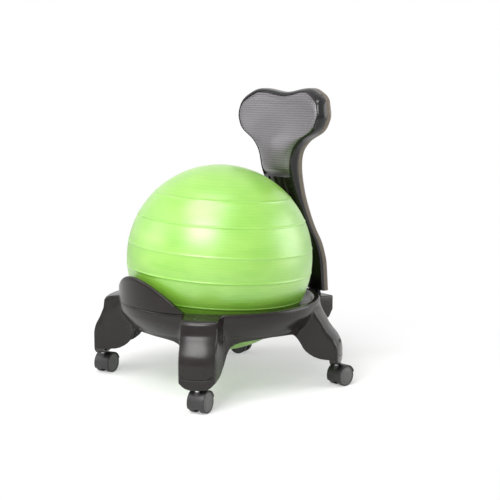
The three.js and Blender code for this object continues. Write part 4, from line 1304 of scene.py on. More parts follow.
    def fasteners(self) -> list[PanScrew]:
        """Bolts through the lugs and screws up into the ball stop.

        Returns:
            The screws of the right side and then of the left.
        """
        screws = []
        for side, word in ((-1, "right"), (1, "left")):
            angle, across = self.seam(side)
            for number, height in enumerate(self.join_bolt_heights, 1):
                seat = (spot(angle, self.join_bolt_reach, height)
                        - across * (self.flange_depth + 1.5 * FIT_GAP))
                length = 2 * self.flange_depth + 3 * FIT_GAP + self.join_bolt_end
                screws.append(PanScrew(
                    f"join_bolt_{word}_{number}", JOIN_BOLT, seat, across, length))
            land = self.ring_radius - self.ring_edge - self.land_width / 2
            seat = spot(side * math.radians(self.stop_screw_degrees), land,
                        self.ring_height - self.wall - FIT_GAP)
            length = self.wall + 2 * FIT_GAP + self.stop_screw_bite
            screws.append(PanScrew(f"stop_screw_{word}", STOP_SCREW, seat, UP, length))
        return screws

    def build(self) -> None:
        """Makes the two mouldings, what is moulded on them and their screws."""
        seam = math.radians(self.seam_degrees)
        front, rear = [], []
        for leg in self.legs:
            (front if leg.y < 0 else rear).extend(self.toe(leg))
        for side in (-1, 1):
            front.append(self.lug(side, True))
            rear.append(self.lug(side, False))
        post = Backrest()
        rear.append(cut(self.socket(), post.bar(FIT_GAP), *(
            screw.room() for screw in post.socket_bolts()
        )))
        piece("base_front_moulding", joined(self.moulding(-seam, seam), *front),
              FINISHES.base, "base", "base_plastic", "front_base", 40)
        piece("base_rear_moulding", joined(self.moulding(seam, 2 * math.pi - seam), *rear),
              FINISHES.base, "base", "base_plastic", "rear_base", 40)
        for screw in self.fasteners():
            screw.build()


@dataclass
class BallStop:
    """Crescent on the front of the ring that keeps the ball from rolling off."""

    half_span_degrees: float = 36.445
    height: float = 78
    tip_share: float = 0.012
    crown_share: float = 0.94
    sections: int = 120
    overhang: float = 2
    base_depth: float = 16
    top_depth: float = 6
    lean: float = 4
    curve: float = 1.9
    ring_radius: float = RING_RADIUS
    foot: float = RING_HEIGHT + FIT_GAP

    def corner(self, across: float, along: float, share: float) -> Vector:
        """Point of the crescent's section.

        Args:
            across: 0 on the outer face and 1 on the inner face.
            along: 0 at the foot and 1 at the top.
            share: Where along the crescent the section stands, from -1 to 1.

        Returns:
            The point.
        """
        rise = self.height * max(self.tip_share, 1 - abs(share) ** self.curve)
        lift = rise / self.height
        base = self.ring_radius + self.overhang
        outer = base - self.lean * lift * along
        depth = mix(self.base_depth, mix(self.base_depth, self.top_depth, lift), along)
        angle = share * math.radians(self.half_span_degrees)
        return spot(angle, outer - depth * across, self.foot + rise * along)

    def build(self) -> None:
        """Makes the crescent with a rounded top."""
        flat, steps = self.crown_share, 8
        up = [i / steps * flat for i in range(steps + 1)]
        turns = [i / steps * math.pi for i in range(1, steps)]
        crown = [(0.5 - 0.5 * math.cos(turn), mix(flat, 1, math.sin(turn))) for turn in turns]
        places = [(0.0, along) for along in up] + crown + [(1.0, along) for along in reversed(up)]
        shares = [mix(-1, 1, i / self.sections) for i in range(self.sections + 1)]
        bm = lofted(len(places), shares, lambda index, share: self.corner(*places[index], share))
        piece("ball_stop_crescent", bm, FINISHES.base, "base", "base_plastic", "ball_stop", 50)


# The backrest


@dataclass(frozen=True)
class BackRow:
    """One height of the backrest: its width, its rear reach and its depth."""

    share: float
    half_width: float
    rear: float
    depth: float


# Shares of the height and the half width; the rear and the depth as shares of the reach
BACK_ROWS = tuple(BackRow(*row) for row in (
    (0, 0.237, 0.953, 0.097), (0.15, 0.254, 0.928, 0.097), (0.193, 0.262, 0.909, 0.097),
    (0.259, 0.279, 0.868, 0.097), (0.336, 0.291, 0.799, 0.097), (0.424, 0.318, 0.731, 0.099),
    (0.528, 0.347, 0.669, 0.116), (0.644, 0.389, 0.624, 0.132), (0.69, 0.413, 0.617, 0.13),
    (0.728, 0.458, 0.615, 0.128), (0.776, 0.595, 0.62, 0.126), (0.826, 0.874, 0.636, 0.126),
    (0.852, 0.945, 0.641, 0.126), (0.902, 1, 0.648, 0.126), (0.95, 0.968, 0.654, 0.126),
    (0.98, 0.926, 0.663, 0.126), (1, 0.856, 0.67, 0.126),
))


@dataclass(frozen=True)
class Layer:
    """Sheet of a plate: how far its border stands in, and its depth at a row and column."""

    inset: float
    depth: Callable[[float, float], float]


@dataclass
class Backrest:
    """Post and head in two shells on a steel bar, with a pad on the front."""

    foot: float = 219
    top: float = 778
    half_width: float = 190
    reach: float = POST_REACH
    lobe_rise: float = 19
    dip_rise: float = 8.5
    lobe_share: float = 0.66
    rise_start: float = 0.86
    head_rows: Point = (0.7, 0.86)
    head_hollow: float = 15
    head_curl: float = 2.5
    curl_rows: Point = (0.75, 0.9)
    neck_round: float = 7
    ridge_width: float = 0.6
    ridge_rows: Point = (0.78, 0.97)
    border_head: float = 0.07
    border_foot: float = 0.05
    rear_depth: float = 16
    seam_inset: float = 0.5
    seam_ease: float = 0.8
    shell_wall: float = 3
    hollow_past: float = 4
    front_edge: float = 9.5
    front_fall: float = 17
    lip_width: float = 10
    lip_ease: Point = (0.2, 0.4)
    rear_edge: float = 6
    pad_recess: float = 8
    pad_rise: float = 6
    pad_roll: float = 5
    pad_ease: float = 0.5
    pad_bevel: float = 1.5
    pad_ends: Point = (0.2, 0.14)
    pad_ridge: float = 6
    pad_ridge_rows: tuple[Point, Point] = ((0, 0.5), (0.35, 1))
    pad_dish: float = 7
    pad_dish_rows: tuple[Point, Point] = ((0.35, 0.8), (0.85, 1))
    pad_foot: float = 0.586
    room_rows: Point = (0.01, 0.03)
    slot_width: float = 13
    slot_pitch: float = 31
    slot_length: float = 78
    slot_top: float = 553
    slot_count: int = 3
    slot_start: float = 60
    slot_past: float = 3
    bar_half_width: float = 22
    bar_depth: float = 10
    bar_foot: float = 146
    bar_top: float = 345
    bar_lean: float = 9.3
    bar_reach: float = 330
    post_bolt_heights: Point = (250, 300)
    socket_bolt_height: float = 176
    socket_bolt_side: float = 13
    # As a column and a row of the rear face
    shell_screw_places: Sequence[Point] = ((-0.6, 0.9), (0.6, 0.9), (-0.22, 0.7), (0.22, 0.7))
    shell_screw_bite: float = 10

    def __post_init__(self) -> None:
        """Works out the curves along the post."""
        self.width_curve = ShareCurve([(row.share, row.half_width) for row in BACK_ROWS])
        self.rear_curve = ShareCurve([(row.share, row.rear) for row in BACK_ROWS])
        self.depth_curve = ShareCurve([(row.share, row.depth) for row in BACK_ROWS])

    def row_at(self, height: float) -> float:
        """Row that stands at a height."""
        return (height - self.foot) / (self.top - self.foot)

    def rear_at(self, row: float, column: float = 0.0) -> float:
        """Reach of the rear face, whose lobes curl forward a little."""
        curl = self.head_curl * smooth(row, *self.curl_rows) * column * column
        return self.rear_curve(row) * self.reach - curl

    def front_at(self, row: float, column: float, extra: float = 0.0) -> float:
        """Reach of the front face: hollow between the lobes, ridged and round lower down.

        Args:
            row: Share of the height.
            column: Share of the half width, from -1 to 1.
            extra: How much further back the point lies.

        Returns:
            The reach.
        """
        head, faded = smooth(row, *self.head_rows), smooth(row, *self.ridge_rows)
        ridge = math.exp(-((column / self.ridge_width) ** 2)) * (1 - faded)
        hollow = self.head_hollow * head * (1 - column * column) * (1 - ridge)
        rounded = self.neck_round * (1 - head) * column * column
        depth = self.depth_curve(row) * self.reach
        return self.rear_at(row, column) - depth + hollow + rounded + extra

    def floor_at(self, row: float, column: float, extra: float = 0.0) -> float:
        """Reach of the front shell's floor, set back inside its lip for the pad."""
        sunk = smooth(row - self.pad_foot, *self.room_rows)
        return self.front_at(row, column, self.pad_recess * sunk + extra)

    def fall_at(self, row: float, column: float) -> float:
        """Reach at which the front shell's rounded edge becomes its side."""
        front, seam = self.front_at(row, column), self.seam_at(row, column)
        return min(front + self.front_fall, mix(front, seam, 0.8))

    def seam_at(self, row: float, column: float = 0.0, extra: float = 0.0) -> float:
        """Reach of the seam between the two shells."""
        return self.rear_at(row, column) - self.rear_depth + extra

    def top_rise(self, share: float) -> float:
        """Rise of the top edge over its corners at a share of its half width.

        Args:
            share: The share, from -1 to 1.

        Returns:
            The rise.
        """
        away = abs(share)
        if away > self.lobe_share:
            turn = (1 - away) / (1 - self.lobe_share)
            return self.lobe_rise * math.sin(turn * math.pi / 2)
        turn = away / self.lobe_share
        return mix(self.dip_rise, self.lobe_rise, (1 - math.cos(turn * math.pi)) / 2)

    def point(self, row: float, column: float, layer: Layer, low: float = 0.0) -> Vector:
        """Point of a sheet of a plate whose lowest row is low.

        Args:
            row: Share of the height.
            column: Share of the half width, from -1 to 1.
            layer: The sheet.
            low: The plate's lowest row.

        Returns:
            The point.
        """
        rise = smooth(row, self.rise_start, 1) * self.top_rise(column)
        head = layer.inset * max(0.0, 1 - (1 - row) / self.border_head)
        foot = layer.inset * max(0.0, 1 - (row - low) / self.border_foot)
        height = mix(self.foot, self.top, row) + rise - head + foot
        across = column * (self.width_curve(row) * self.half_width - layer.inset)
        return Vector((across, layer.depth(row, column), height))

    def plate(
        self, layers: Sequence[Layer], low: float = 0.0, pitch: float = 4.5, columns: int = 44
    ) -> BMesh:
        """Closed plate between its first and its last layer, through the ones between.

        Args:
            layers: The sheets from the front to the rear.
            low: The lowest row.
            pitch: Height of a row of faces.
            columns: Faces across.

        Returns:
            The closed bmesh.
        """
        count = round((1 - low) * (self.top - self.foot) / pitch)
        bm = bmesh.new()
        row_of = bm.verts.layers.float.new("row")
        column_of = bm.verts.layers.float.new("column")
        bmesh.ops.create_grid(bm, x_segments=columns, y_segments=count, size=0.5)
        for vert in bm.verts:
            vert[row_of] = mix(low, 1, min(1.0, max(0.0, vert.co.y + 0.5)))
            # Faces get narrower toward the sides, where the shape turns most
            across = min(1.0, max(-1.0, vert.co.x * 2))
            vert[column_of] = mix(across, math.sin(across * math.pi / 2), 0.6)
        rear = bmesh.ops.duplicate(bm, geom=bm.verts[:] + bm.edges[:] + bm.faces[:])
        behind = corners_in(rear)
        border = [e for e in bm.edges if e.is_boundary and e.verts[0] not in set(behind)]
        for vert in bm.verts:
            vert.co = self.point(vert[row_of], vert[column_of], layers[0], low)
        for vert in behind:
            vert.co = self.point(vert[row_of], vert[column_of], layers[-1], low)
        for layer in layers[1:]:
            made = bmesh.ops.extrude_edge_only(bm, edges=border)
            for vert in corners_in(made):
                vert.co = self.point(vert[row_of], vert[column_of], layer, low)
            border = [part for part in made["geom"] if isinstance(part, bmesh.types.BMEdge)]
        bmesh.ops.remove_doubles(bm, verts=bm.verts, dist=1e-3)
        bmesh.ops.recalc_face_normals(bm, faces=bm.faces)
        return bm

    def front_layers(self) -> list[Layer]:
        """Sheets of the front shell: the pad's room, the lip round it, then to the seam.

        Returns:
            The sheets, from the front to the rear.
        """
        inset, drop = self.lip_ease
        room = [
            Layer(self.lip_width, self.floor_at),
            Layer(self.lip_width - inset, lambda row, column: self.front_at(row, column, drop)),
        ]
        rounding = [
            Layer(self.front_edge * (1 - out), lambda row, column, up=up: mix(
                self.front_at(row, column), self.fall_at(row, column), 1 - up))
            for out, up in reversed(quarter(6))
        ]
        seam = [
            Layer(inset, lambda row, column, back=back: self.seam_at(row, column, -FIT_GAP - back))
            for inset, back in ((0, self.seam_ease), (self.seam_inset, 0))
        ]
        return room + rounding + seam

    def hollow_layers(self) -> list[Layer]:
        """Sheets of the room inside the front shell.

        Returns:
            The sheets, from the front to the rear.
        """
        wall, inset = self.shell_wall, self.lip_width + self.shell_wall
        return [
            Layer(inset, lambda row, column: self.floor_at(row, column, wall)),
            Layer(inset, lambda row, column: self.seam_at(row, column, self.hollow_past)),
        ]

    def rear_layers(self) -> list[Layer]:
        """Sheets of the rear shell, from the seam round its rounded rear edge.

        Returns:
            The sheets, from the front to the rear.
        """
        rounding = [
            Layer(self.rear_edge * (1 - out),
                  lambda row, column, up=up: self.rear_at(row, column) - self.rear_edge * (1 - up))
            for out, up in quarter(5)
        ]
        seam = [
            Layer(self.seam_inset, self.seam_at),
            Layer(0, lambda row, column: self.seam_at(row, column, self.seam_ease)),
        ]
        return seam + rounding

    def bar_middle(self, height: float) -> float:
        """Reach of the bar's middle at a height."""
        return self.bar_reach - (height - self.foot) * math.tan(math.radians(self.bar_lean))

    def bar(
        self, gap: float = 0.0, lengthen: float = 0.0, open_rear: float = 0.0,
        rounding: float = 0.0,
    ) -> BMesh:
        """The flat bar, or the room that it needs.

        Args:
            gap: Room to leave round its faces.
            lengthen: Room to leave at each end.
            open_rear: How much further back the room reaches.
            rounding: Radius of its edges.

        Returns:
            The closed bmesh.
        """
        lean = math.radians(self.bar_lean)
        along = Vector((0, -math.sin(lean), math.cos(lean)))
        normal = Vector((0, math.cos(lean), math.sin(lean)))
        half = (self.bar_top - self.bar_foot) / math.cos(lean) / 2 + lengthen
        height = (self.bar_top + self.bar_foot) / 2
        middle = Vector((0, self.bar_middle(height), height))
        near, far = self.bar_depth / 2 + gap, self.bar_depth / 2 + gap + open_rear
        side = Vector((-self.bar_half_width - gap, 0, 0))
        outline = [middle + side + normal * depth + along * reach
                   for depth, reach in ((-near, -half), (far, -half), (far, half), (-near, half))]
        return extruded(outline, -2 * side, rounding)

    def slot(self, index: int) -> BMesh:
        """Room of one of the upright slots, with rounded ends.

        Args:
            index: Its number, from the right.

        Returns:
            The closed bmesh.
        """
        radius, start = self.slot_width / 2, self.slot_start
        middle = (index - (self.slot_count - 1) / 2) * self.slot_pitch
        high, low = self.slot_top - radius, self.slot_top - self.slot_length + radius
        outline = [
            Vector((middle + radius * math.cos(turn), start,
                    (high if turn <= math.pi else low) + radius * math.sin(turn)))
            for turn in (math.radians(angle) for angle in (*range(0, 181, 9), *range(189, 360, 9)))
        ]
        row = self.row_at(self.slot_top - self.slot_length / 2)
        end = self.seam_at(row) + self.slot_past
        return extruded(outline, Vector((0, end - start, 0)))

    def post_bolts(self) -> list[SocketScrew]:
        """Bolts that hold the bar to the rear shell.

        Returns:
            The two bolts, the lower one first.
        """
        bolts = []
        for number, height in enumerate(self.post_bolt_heights, 1):
            seat = self.rear_at(self.row_at(height)) - FRAME_BOLT.sink
            length = seat - self.bar_middle(height) + self.bar_depth / 2
            bolts.append(SocketScrew(
                f"post_bolt_{number}", FRAME_BOLT, Vector((0, seat, height)), length))
        return bolts

    def socket_bolts(self) -> list[SocketScrew]:
        """Bolts that hold the bar in the socket.

        Returns:
            The right bolt and the left one.
        """
        seat, height = self.reach - FRAME_BOLT.sink, self.socket_bolt_height
        length = seat + self.bar_depth / 2 - self.bar_middle(height)
        return [
            SocketScrew(f"socket_bolt_{side}", FRAME_BOLT, Vector((x, seat, height)), length)
            for side, x in (("right", -self.socket_bolt_side), ("left", self.socket_bolt_side))
        ]

    def shell_screws(self) -> list[SocketScrew]:
        """Screws that join the two shells.

        Returns:
            The four screws.
        """
        screws = []
        for number, (column, row) in enumerate(self.shell_screw_places, 1):
            seat = Vector((
                column * self.width_curve(row) * self.half_width,
                self.rear_at(row, column) - SHELL_SCREW.sink, mix(self.foot, self.top, row),
            ))
            length = self.rear_depth - SHELL_SCREW.sink + self.shell_screw_bite
            screws.append(SocketScrew(f"shell_screw_{number}", SHELL_SCREW, seat, length))
        return screws

    def crown(self, row: float, column: float) -> float:
        """Rise of the pad over the lip, full in its middle and none at its border.

        Args:
            row: Share of the height.
            column: Share of the half width, from -1 to 1.

        Returns:
            The rise.
        """
        share = (row - self.pad_foot) / (1 - self.pad_foot)
        side = (1 - abs(column) ** 4) ** 0.6
        ends = min(1.0, share / self.pad_ends[0], (1 - share) / self.pad_ends[1])
        ridge = self.pad_ridge * math.exp(-((column / self.ridge_width) ** 2))
        dish = self.pad_dish * (1 - column * column)
        (ridge_in, ridge_out), (dish_in, dish_out) = self.pad_ridge_rows, self.pad_dish_rows
        ridge *= smooth(share, *ridge_in) * (1 - smooth(share, *ridge_out))
        dish *= smooth(share, *dish_in) * (1 - smooth(share, *dish_out))
        return self.pad_rise * side * (1 - (1 - ends) ** 2.5) + ridge - dish

    def pad(self) -> BMesh:
        """The pad: crowned, with a rolled border, down in the room inside the lip.

        Returns:
            The closed bmesh.
        """
        inset, roll, ease = self.lip_width + FIT_GAP, self.pad_roll, self.pad_ease
        sheets = [
            Layer(inset + roll * (1 - out),
                  lambda row, column, up=up: self.front_at(
                      row, column, roll * (1 - up) - self.crown(row, column)))
            for out, up in reversed(quarter(5))
        ]
        sheets += [
            Layer(inset, lambda row, column: self.front_at(
                row, column, max(roll + ease, self.pad_recess - self.pad_bevel))),
            Layer(inset + ease, lambda row, column: self.front_at(
                row, column, max(roll + 2 * ease, self.pad_recess - FIT_GAP))),
        ]
        return self.plate(sheets, self.pad_foot, pitch=3.5, columns=64)

    def build(self) -> None:
        """Makes the shells, the bar, the pad and their fasteners."""
        front = cut(
            self.plate(self.front_layers()),
            self.plate(self.hollow_layers(), low=0.03, pitch=9, columns=24),
            self.bar(FIT_GAP, FIT_GAP, self.rear_depth),
            *(self.slot(index) for index in range(self.slot_count)),
        )
        piece("backrest_front", front, FINISHES.rim, "base", "gloss_shell",
              "backrest_front_shell", 40)
        fasteners = [*self.post_bolts(), *self.shell_screws()]
        rear = cut(self.plate(self.rear_layers()), self.bar(FIT_GAP, FIT_GAP),
                   *(screw.room() for screw in fasteners))
        piece("backrest_rear", rear, FINISHES.rear, "base", "rear_shell",
              "backrest_rear_shell", 40)
        pad = piece("backrest_cushion", self.pad(), FINISHES.pad, "base", "pad_fabric",
                    "backrest_pad", 70)
        piece("post_flat_bar", self.bar(rounding=0.8), FINISHES.black, "base",
              "fastener_steel", "post_bar")
        for screw in (*fasteners, *self.socket_bolts()):
            screw.build()


# The ball


@dataclass
class Ball:
    """Inflated seat ball with raised rings and a plug at its foot."""

    radius: float = BALL_RADIUS
    height: float = BALL_HEIGHT
    wall: float = 2
    tilt_degrees: float = 3.5
    heading_degrees: float = 125
    ridge_height: float = 1.2
    ridge_width: float = 6
    ridge_shares: Sequence[float] = (0.69, 0.45, 0.16, -0.1, -0.375)
    plug_radius: float = 4.5
    plug_head: float = 7
    plug_head_depth: float = 1.5
    plug_length: float = 14
    outer_steps: int = 110
    inner_steps: int = 40
    ridge_steps: int = 5
    segments: int = 180

    def ridge(self, angle: float) -> float:
        """Rise of the skin at an angle from the ball's upper pole.

        Args:
            angle: The angle.

        Returns:
            The rise.
        """
        away = min(abs(angle - math.acos(share)) for share in self.ridge_shares)
        reach = away * self.radius / (self.ridge_width / 2)
        return self.ridge_height * max(0.0, 1 - reach * reach) ** 1.5 if reach < 1 else 0.0

    def angles(self) -> list[float]:
        """Angles of the outline's points from the upper pole, closest at the rings.

        Returns:
            The angles, rising.
        """
        hole = math.asin((self.plug_radius + FIT_GAP) / self.radius)
        bead = self.ridge_width / 2 / self.radius
        last = math.pi - hole
        marks = {round(last * i / self.outer_steps, 6) for i in range(self.outer_steps + 1)}
        for share in self.ridge_shares:
            middle = math.acos(share)
            marks = {mark for mark in marks if abs(mark - middle) > bead * 1.3}
            marks |= {round(middle + bead * i / self.ridge_steps, 6)
                      for i in range(-self.ridge_steps, self.ridge_steps + 1)}
        return sorted(marks)

    def place(self, bm: BMesh) -> BMesh:
        """Leans a shape that was made about the origin and sets it on the ring.

        Args:
            bm: The shape.

        Returns:
            The same shape, in its place.
        """
        axis = spot(math.radians(self.heading_degrees + 90), 1, 0)
        turn = Matrix.Rotation(math.radians(self.tilt_degrees), 4, axis)
        bmesh.ops.transform(
            bm, matrix=Matrix.Translation((0, 0, self.height)) @ turn, verts=bm.verts)
        return bm

    def build(self) -> None:
        """Makes the ball's skin and its plug."""
        outline = [
            ((self.radius + self.ridge(angle)) * math.sin(angle),
             (self.radius + self.ridge(angle)) * math.cos(angle))
            for angle in self.angles()
        ]
        inner = self.radius - self.wall
        hole = math.asin((self.plug_radius + FIT_GAP) / inner)
        outline += [
            (inner * math.sin(angle), inner * math.cos(angle))
            for angle in ((math.pi - hole) * i / self.inner_steps
                          for i in range(self.inner_steps, -1, -1))
        ]
        skin = turned([(max(0.0, radius), along) for radius, along in outline],
                      Vector(), UP, self.segments)
        piece("seat_ball", self.place(skin), FINISHES.ball, "ball", "ball_vinyl", "ball", 60)
        foot = -self.radius - FIT_GAP
        plug = turned([
            (0, foot - self.plug_head_depth), (self.plug_head - 1, foot - self.plug_head_depth),
            (self.plug_head - 0.3, foot - self.plug_head_depth + 0.3),
            (self.plug_head, foot - 0.6), (self.plug_head - 0.2, foot),
            (self.plug_radius, foot), (self.plug_radius - 0.4, foot + self.plug_length),
            (0, foot + self.plug_length),
        ], Vector(), UP)
        piece("seat_ball_plug", self.place(plug), FINISHES.plug, "ball", "plug_vinyl", "ball_plug")


# The casters


@dataclass
class Caster:
    """Hooded twin-wheel caster under one leg, with its stem and the leg's sleeve."""

    leg: Leg
    heading_degrees: float
    wheel_radius: float = 27.5
    wheel_width: float = 15.5
    wheels_apart: float = 15
    tread_edge: float = 2
    disc_radius: float = 24.5
    disc_depth: float = 2
    axle_radius: float = 3
    trail: float = 17
    hood_gap: float = 1.2
    hood_wall: float = 1.8
    hood_top: float = 56
    hood_start: float = 15
    hood_end: float = 209
    boss_radius: float = 7
    stem_radius: float = 5.5
    stem_foot_radius: float = 4
    stem_foot: float = 36
    stem_top: float = 104
    sleeve_wall: float = 2.5
    leg_bottom: float = LEG_BOTTOM

    def placed(self, bm: BMesh) -> BMesh:
        """Turns a shape that trails along +Y to the caster's heading, under its leg.

        Args:
            bm: The shape.

        Returns:
            The same shape, in its place.
        """
        turn = Matrix.Rotation(math.radians(self.heading_degrees) + math.pi, 4, "Z")
        bmesh.ops.transform(
            bm, matrix=Matrix.Translation((self.leg.x, self.leg.y, 0)) @ turn, verts=bm.verts)
        return bm

    def profile(self, side: float, reach: float, height: float) -> Vector:
        """Point of the hood's side outline, whose reach and height start at the axle."""
        return Vector((side, self.trail + reach, self.wheel_radius + height))

    def arc(self, side: float, radius: float, start: float, end: float, steps: int) -> list[Vector]:
        """Points of an arc about the axle, its angles in degrees from the trailing side."""
        turns = [math.radians(mix(start, end, i / steps)) for i in range(steps + 1)]
        return [self.profile(side, radius * math.cos(t), radius * math.sin(t)) for t in turns]

    def hood(self) -> BMesh:
        """Fender over both wheels, the web between them and the stem's boss.

        Returns:
            One bmesh with the three closed shells.
        """
        inner = self.wheel_radius + self.hood_gap
        outer = inner + self.hood_wall
        half = self.wheels_apart / 2 + self.wheel_width
        start, end = self.hood_start, self.hood_end
        fender = extruded(
            self.arc(-half, outer, start, end, 48) + self.arc(-half, inner, end, start, 48),
            Vector((2 * half, 0, 0)), rounding=0.7,
        )
        web_half = self.wheels_apart / 2 - RUN_GAP
        web = extruded(
            self.arc(-web_half, inner + self.hood_wall / 2, start, end, 40) + [
                self.profile(-web_half, self.axle_radius * 2, -self.axle_radius * 3),
            ], Vector((2 * web_half, 0, 0)), rounding=1.0,
        )
        foot = self.stem_foot - self.boss_radius
        height = self.hood_top - foot
        boss = turned([
            (0, 0), (self.boss_radius - 1, 0), (self.boss_radius, 1),
            (self.boss_radius, height - 1), (self.boss_radius - 0.3, height - 0.3),
            (self.boss_radius - 1, height), (0, height),
        ], UP * foot, UP)
        return joined(fender, web, boss)

    def wheel(self, side: int) -> BMesh:
        """One wheel, its tread's corners rounded and its outer face recessed for the disc.

        Args:
            side: -1 for wheel a and 1 for wheel b.

        Returns:
            The closed bmesh.
        """
        radius, width, edge = self.wheel_radius, self.wheel_width, self.tread_edge
        bore = self.axle_radius + RUN_GAP
        recess = width - self.disc_depth - FIT_GAP
        tread = [(radius - edge + edge * out, width - edge + edge * up) for out, up in quarter(5)]
        outline = [
            (bore, 0), (radius - 1.2, 0), (radius - 0.35, 0.35), (radius, 1.2), *tread,
            (self.disc_radius + 1.0, width), (self.disc_radius + FIT_GAP, width - 0.7),
            (self.disc_radius + FIT_GAP, recess), (bore, recess),
        ]
        start = Vector((side * self.wheels_apart / 2, self.trail, radius))
        return turned(outline, start, Vector((side, 0, 0)), segments=72)

    def disc(self, side: int) -> BMesh:
        """Pressed-in cover of one wheel, with a raised rim and a slightly domed middle.

        Args:
            side: -1 for wheel a and 1 for wheel b.

        Returns:
            The closed bmesh.
        """
        radius, depth = self.disc_radius, self.disc_depth
        outline = [
            (0, 0), (radius, 0), (radius, depth * 0.6), (radius - 0.5, depth * 0.8),
            (radius - 2.4, depth * 0.8), (radius - 3.2, depth * 0.45), (radius - 4.2, depth * 0.45),
            (radius - 5.4, depth * 0.8), (radius * 0.4, depth * 0.97), (0, depth),
        ]
        seat = self.wheels_apart / 2 + self.wheel_width - depth
        start = Vector((side * seat, self.trail, self.wheel_radius))
        return turned(outline, start, Vector((side, 0, 0)), segments=72)

    def stem(self) -> BMesh:
        """Swivel stem, necked where the hood's boss holds it.

        Returns:
            The closed bmesh.
        """
        neck = self.hood_top + FIT_GAP - self.stem_foot
        length = self.stem_top - self.stem_foot
        return turned([
            (0, 0), (self.stem_foot_radius, 0), (self.stem_foot_radius, neck),
            (self.stem_radius - 0.5, neck), (self.stem_radius, neck + 0.5),
            (self.stem_radius, length - 2), (self.stem_radius * 0.67, length), (0, length),
        ], UP * self.stem_foot, UP, segments=40)

    def axle(self) -> BMesh:
        """Axle through both wheels.

        Returns:
            The closed bmesh.
        """
        half = self.wheels_apart / 2 + self.wheel_width - self.disc_depth - 2 * FIT_GAP
        return turned([
            (0, -half), (self.axle_radius - 0.4, -half), (self.axle_radius, -half + 0.4),
            (self.axle_radius, half - 0.4), (self.axle_radius - 0.4, half), (0, half),
        ], Vector((0, self.trail, self.wheel_radius)), Vector((1, 0, 0)))

    def sleeve(self) -> BMesh:
        """Bush in the leg that the stem turns in.

        Returns:
            The closed bmesh.
        """
        inner = self.stem_radius + RUN_GAP
        outer = inner + self.sleeve_wall
        length = self.stem_top - self.leg_bottom
        return turned([
            (inner, 0.4), (inner + 0.4, 0), (outer - 0.4, 0), (outer, 0.4), (outer, length - 0.4),
            (outer - 0.4, length), (inner + 0.4, length), (inner, length - 0.4),
        ], Vector((self.leg.x, self.leg.y, self.leg_bottom + FIT_GAP)), UP, segments=40)

    def build(self) -> None:
        """Makes the caster's pieces and the sleeve in its leg."""
        leg = self.leg.name
        for name, shape, finish, slot in (
            ("hood", self.hood(), FINISHES.nylon, "caster_plastic"),
            ("stem", self.stem(), FINISHES.zinc, "bright_steel"),
            ("axle", self.axle(), FINISHES.zinc, "bright_steel"),
        ):
            piece(f"{leg}_{name}", self.placed(shape), finish, f"{leg}_caster", slot,
                  f"{leg}_caster_{name}")
        for key, side in (("a", -1), ("b", 1)):
            body = f"{leg}_wheel_{key}_body"
            piece(f"{leg}_tyre_{key}", self.placed(self.wheel(side)), FINISHES.nylon, body,
                  "caster_plastic", f"{leg}_wheel_{key}")
            piece(f"{leg}_disc_{key}", self.placed(self.disc(side)), FINISHES.disc, body,
                  "cap_plastic", f"{leg}_wheel_cap_{key}")
        piece(f"{leg}_bush", self.sleeve(), FINISHES.sleeve, "base", "sleeve_plastic",
              f"{leg}_sleeve")


# Floor, light and camera


@dataclass(frozen=True)
class Lamp:
    """Soft rectangular light: its place, what it faces, its width and height, its watts."""

    name: str
    place: Point3
    target: Point3
    size: Point
    power: float

    def build(self) -> None:
        """Adds the light to the scene."""
        light = bpy.data.lights.new(self.name, "AREA")
        light.shape, light.size, light.size_y = "RECTANGLE", *self.size
        light.energy = self.power
        made = bpy.data.objects.new(self.name, light)
        made.location = self.place
        facing = Vector(self.target) - Vector(self.place)
        made.rotation_euler = facing.to_track_quat("-Z", "Y").to_euler()
        bpy.context.scene.collection.objects.link(made)


# Places and sizes in metres
LAMPS = (
    Lamp("key_softbox", (1.23, -1.97, 2.07), (0, 0, 0.35), (1.5, 1.5), 67),
    Lamp("left_softbox", (-1.43, -2.38, 1.47), (0, 0, 0.5), (1.6, 1.6), 15),
    Lamp("top_strip", (0.33, -0.99, 2.9), (-0.11, -0.58, 0.2), (2.0, 0.5), 28),
    Lamp("right_softbox", (1.35, 2.45, 1.0), (0, 0.1, 0.4), (2.0, 1.8), 32),
)


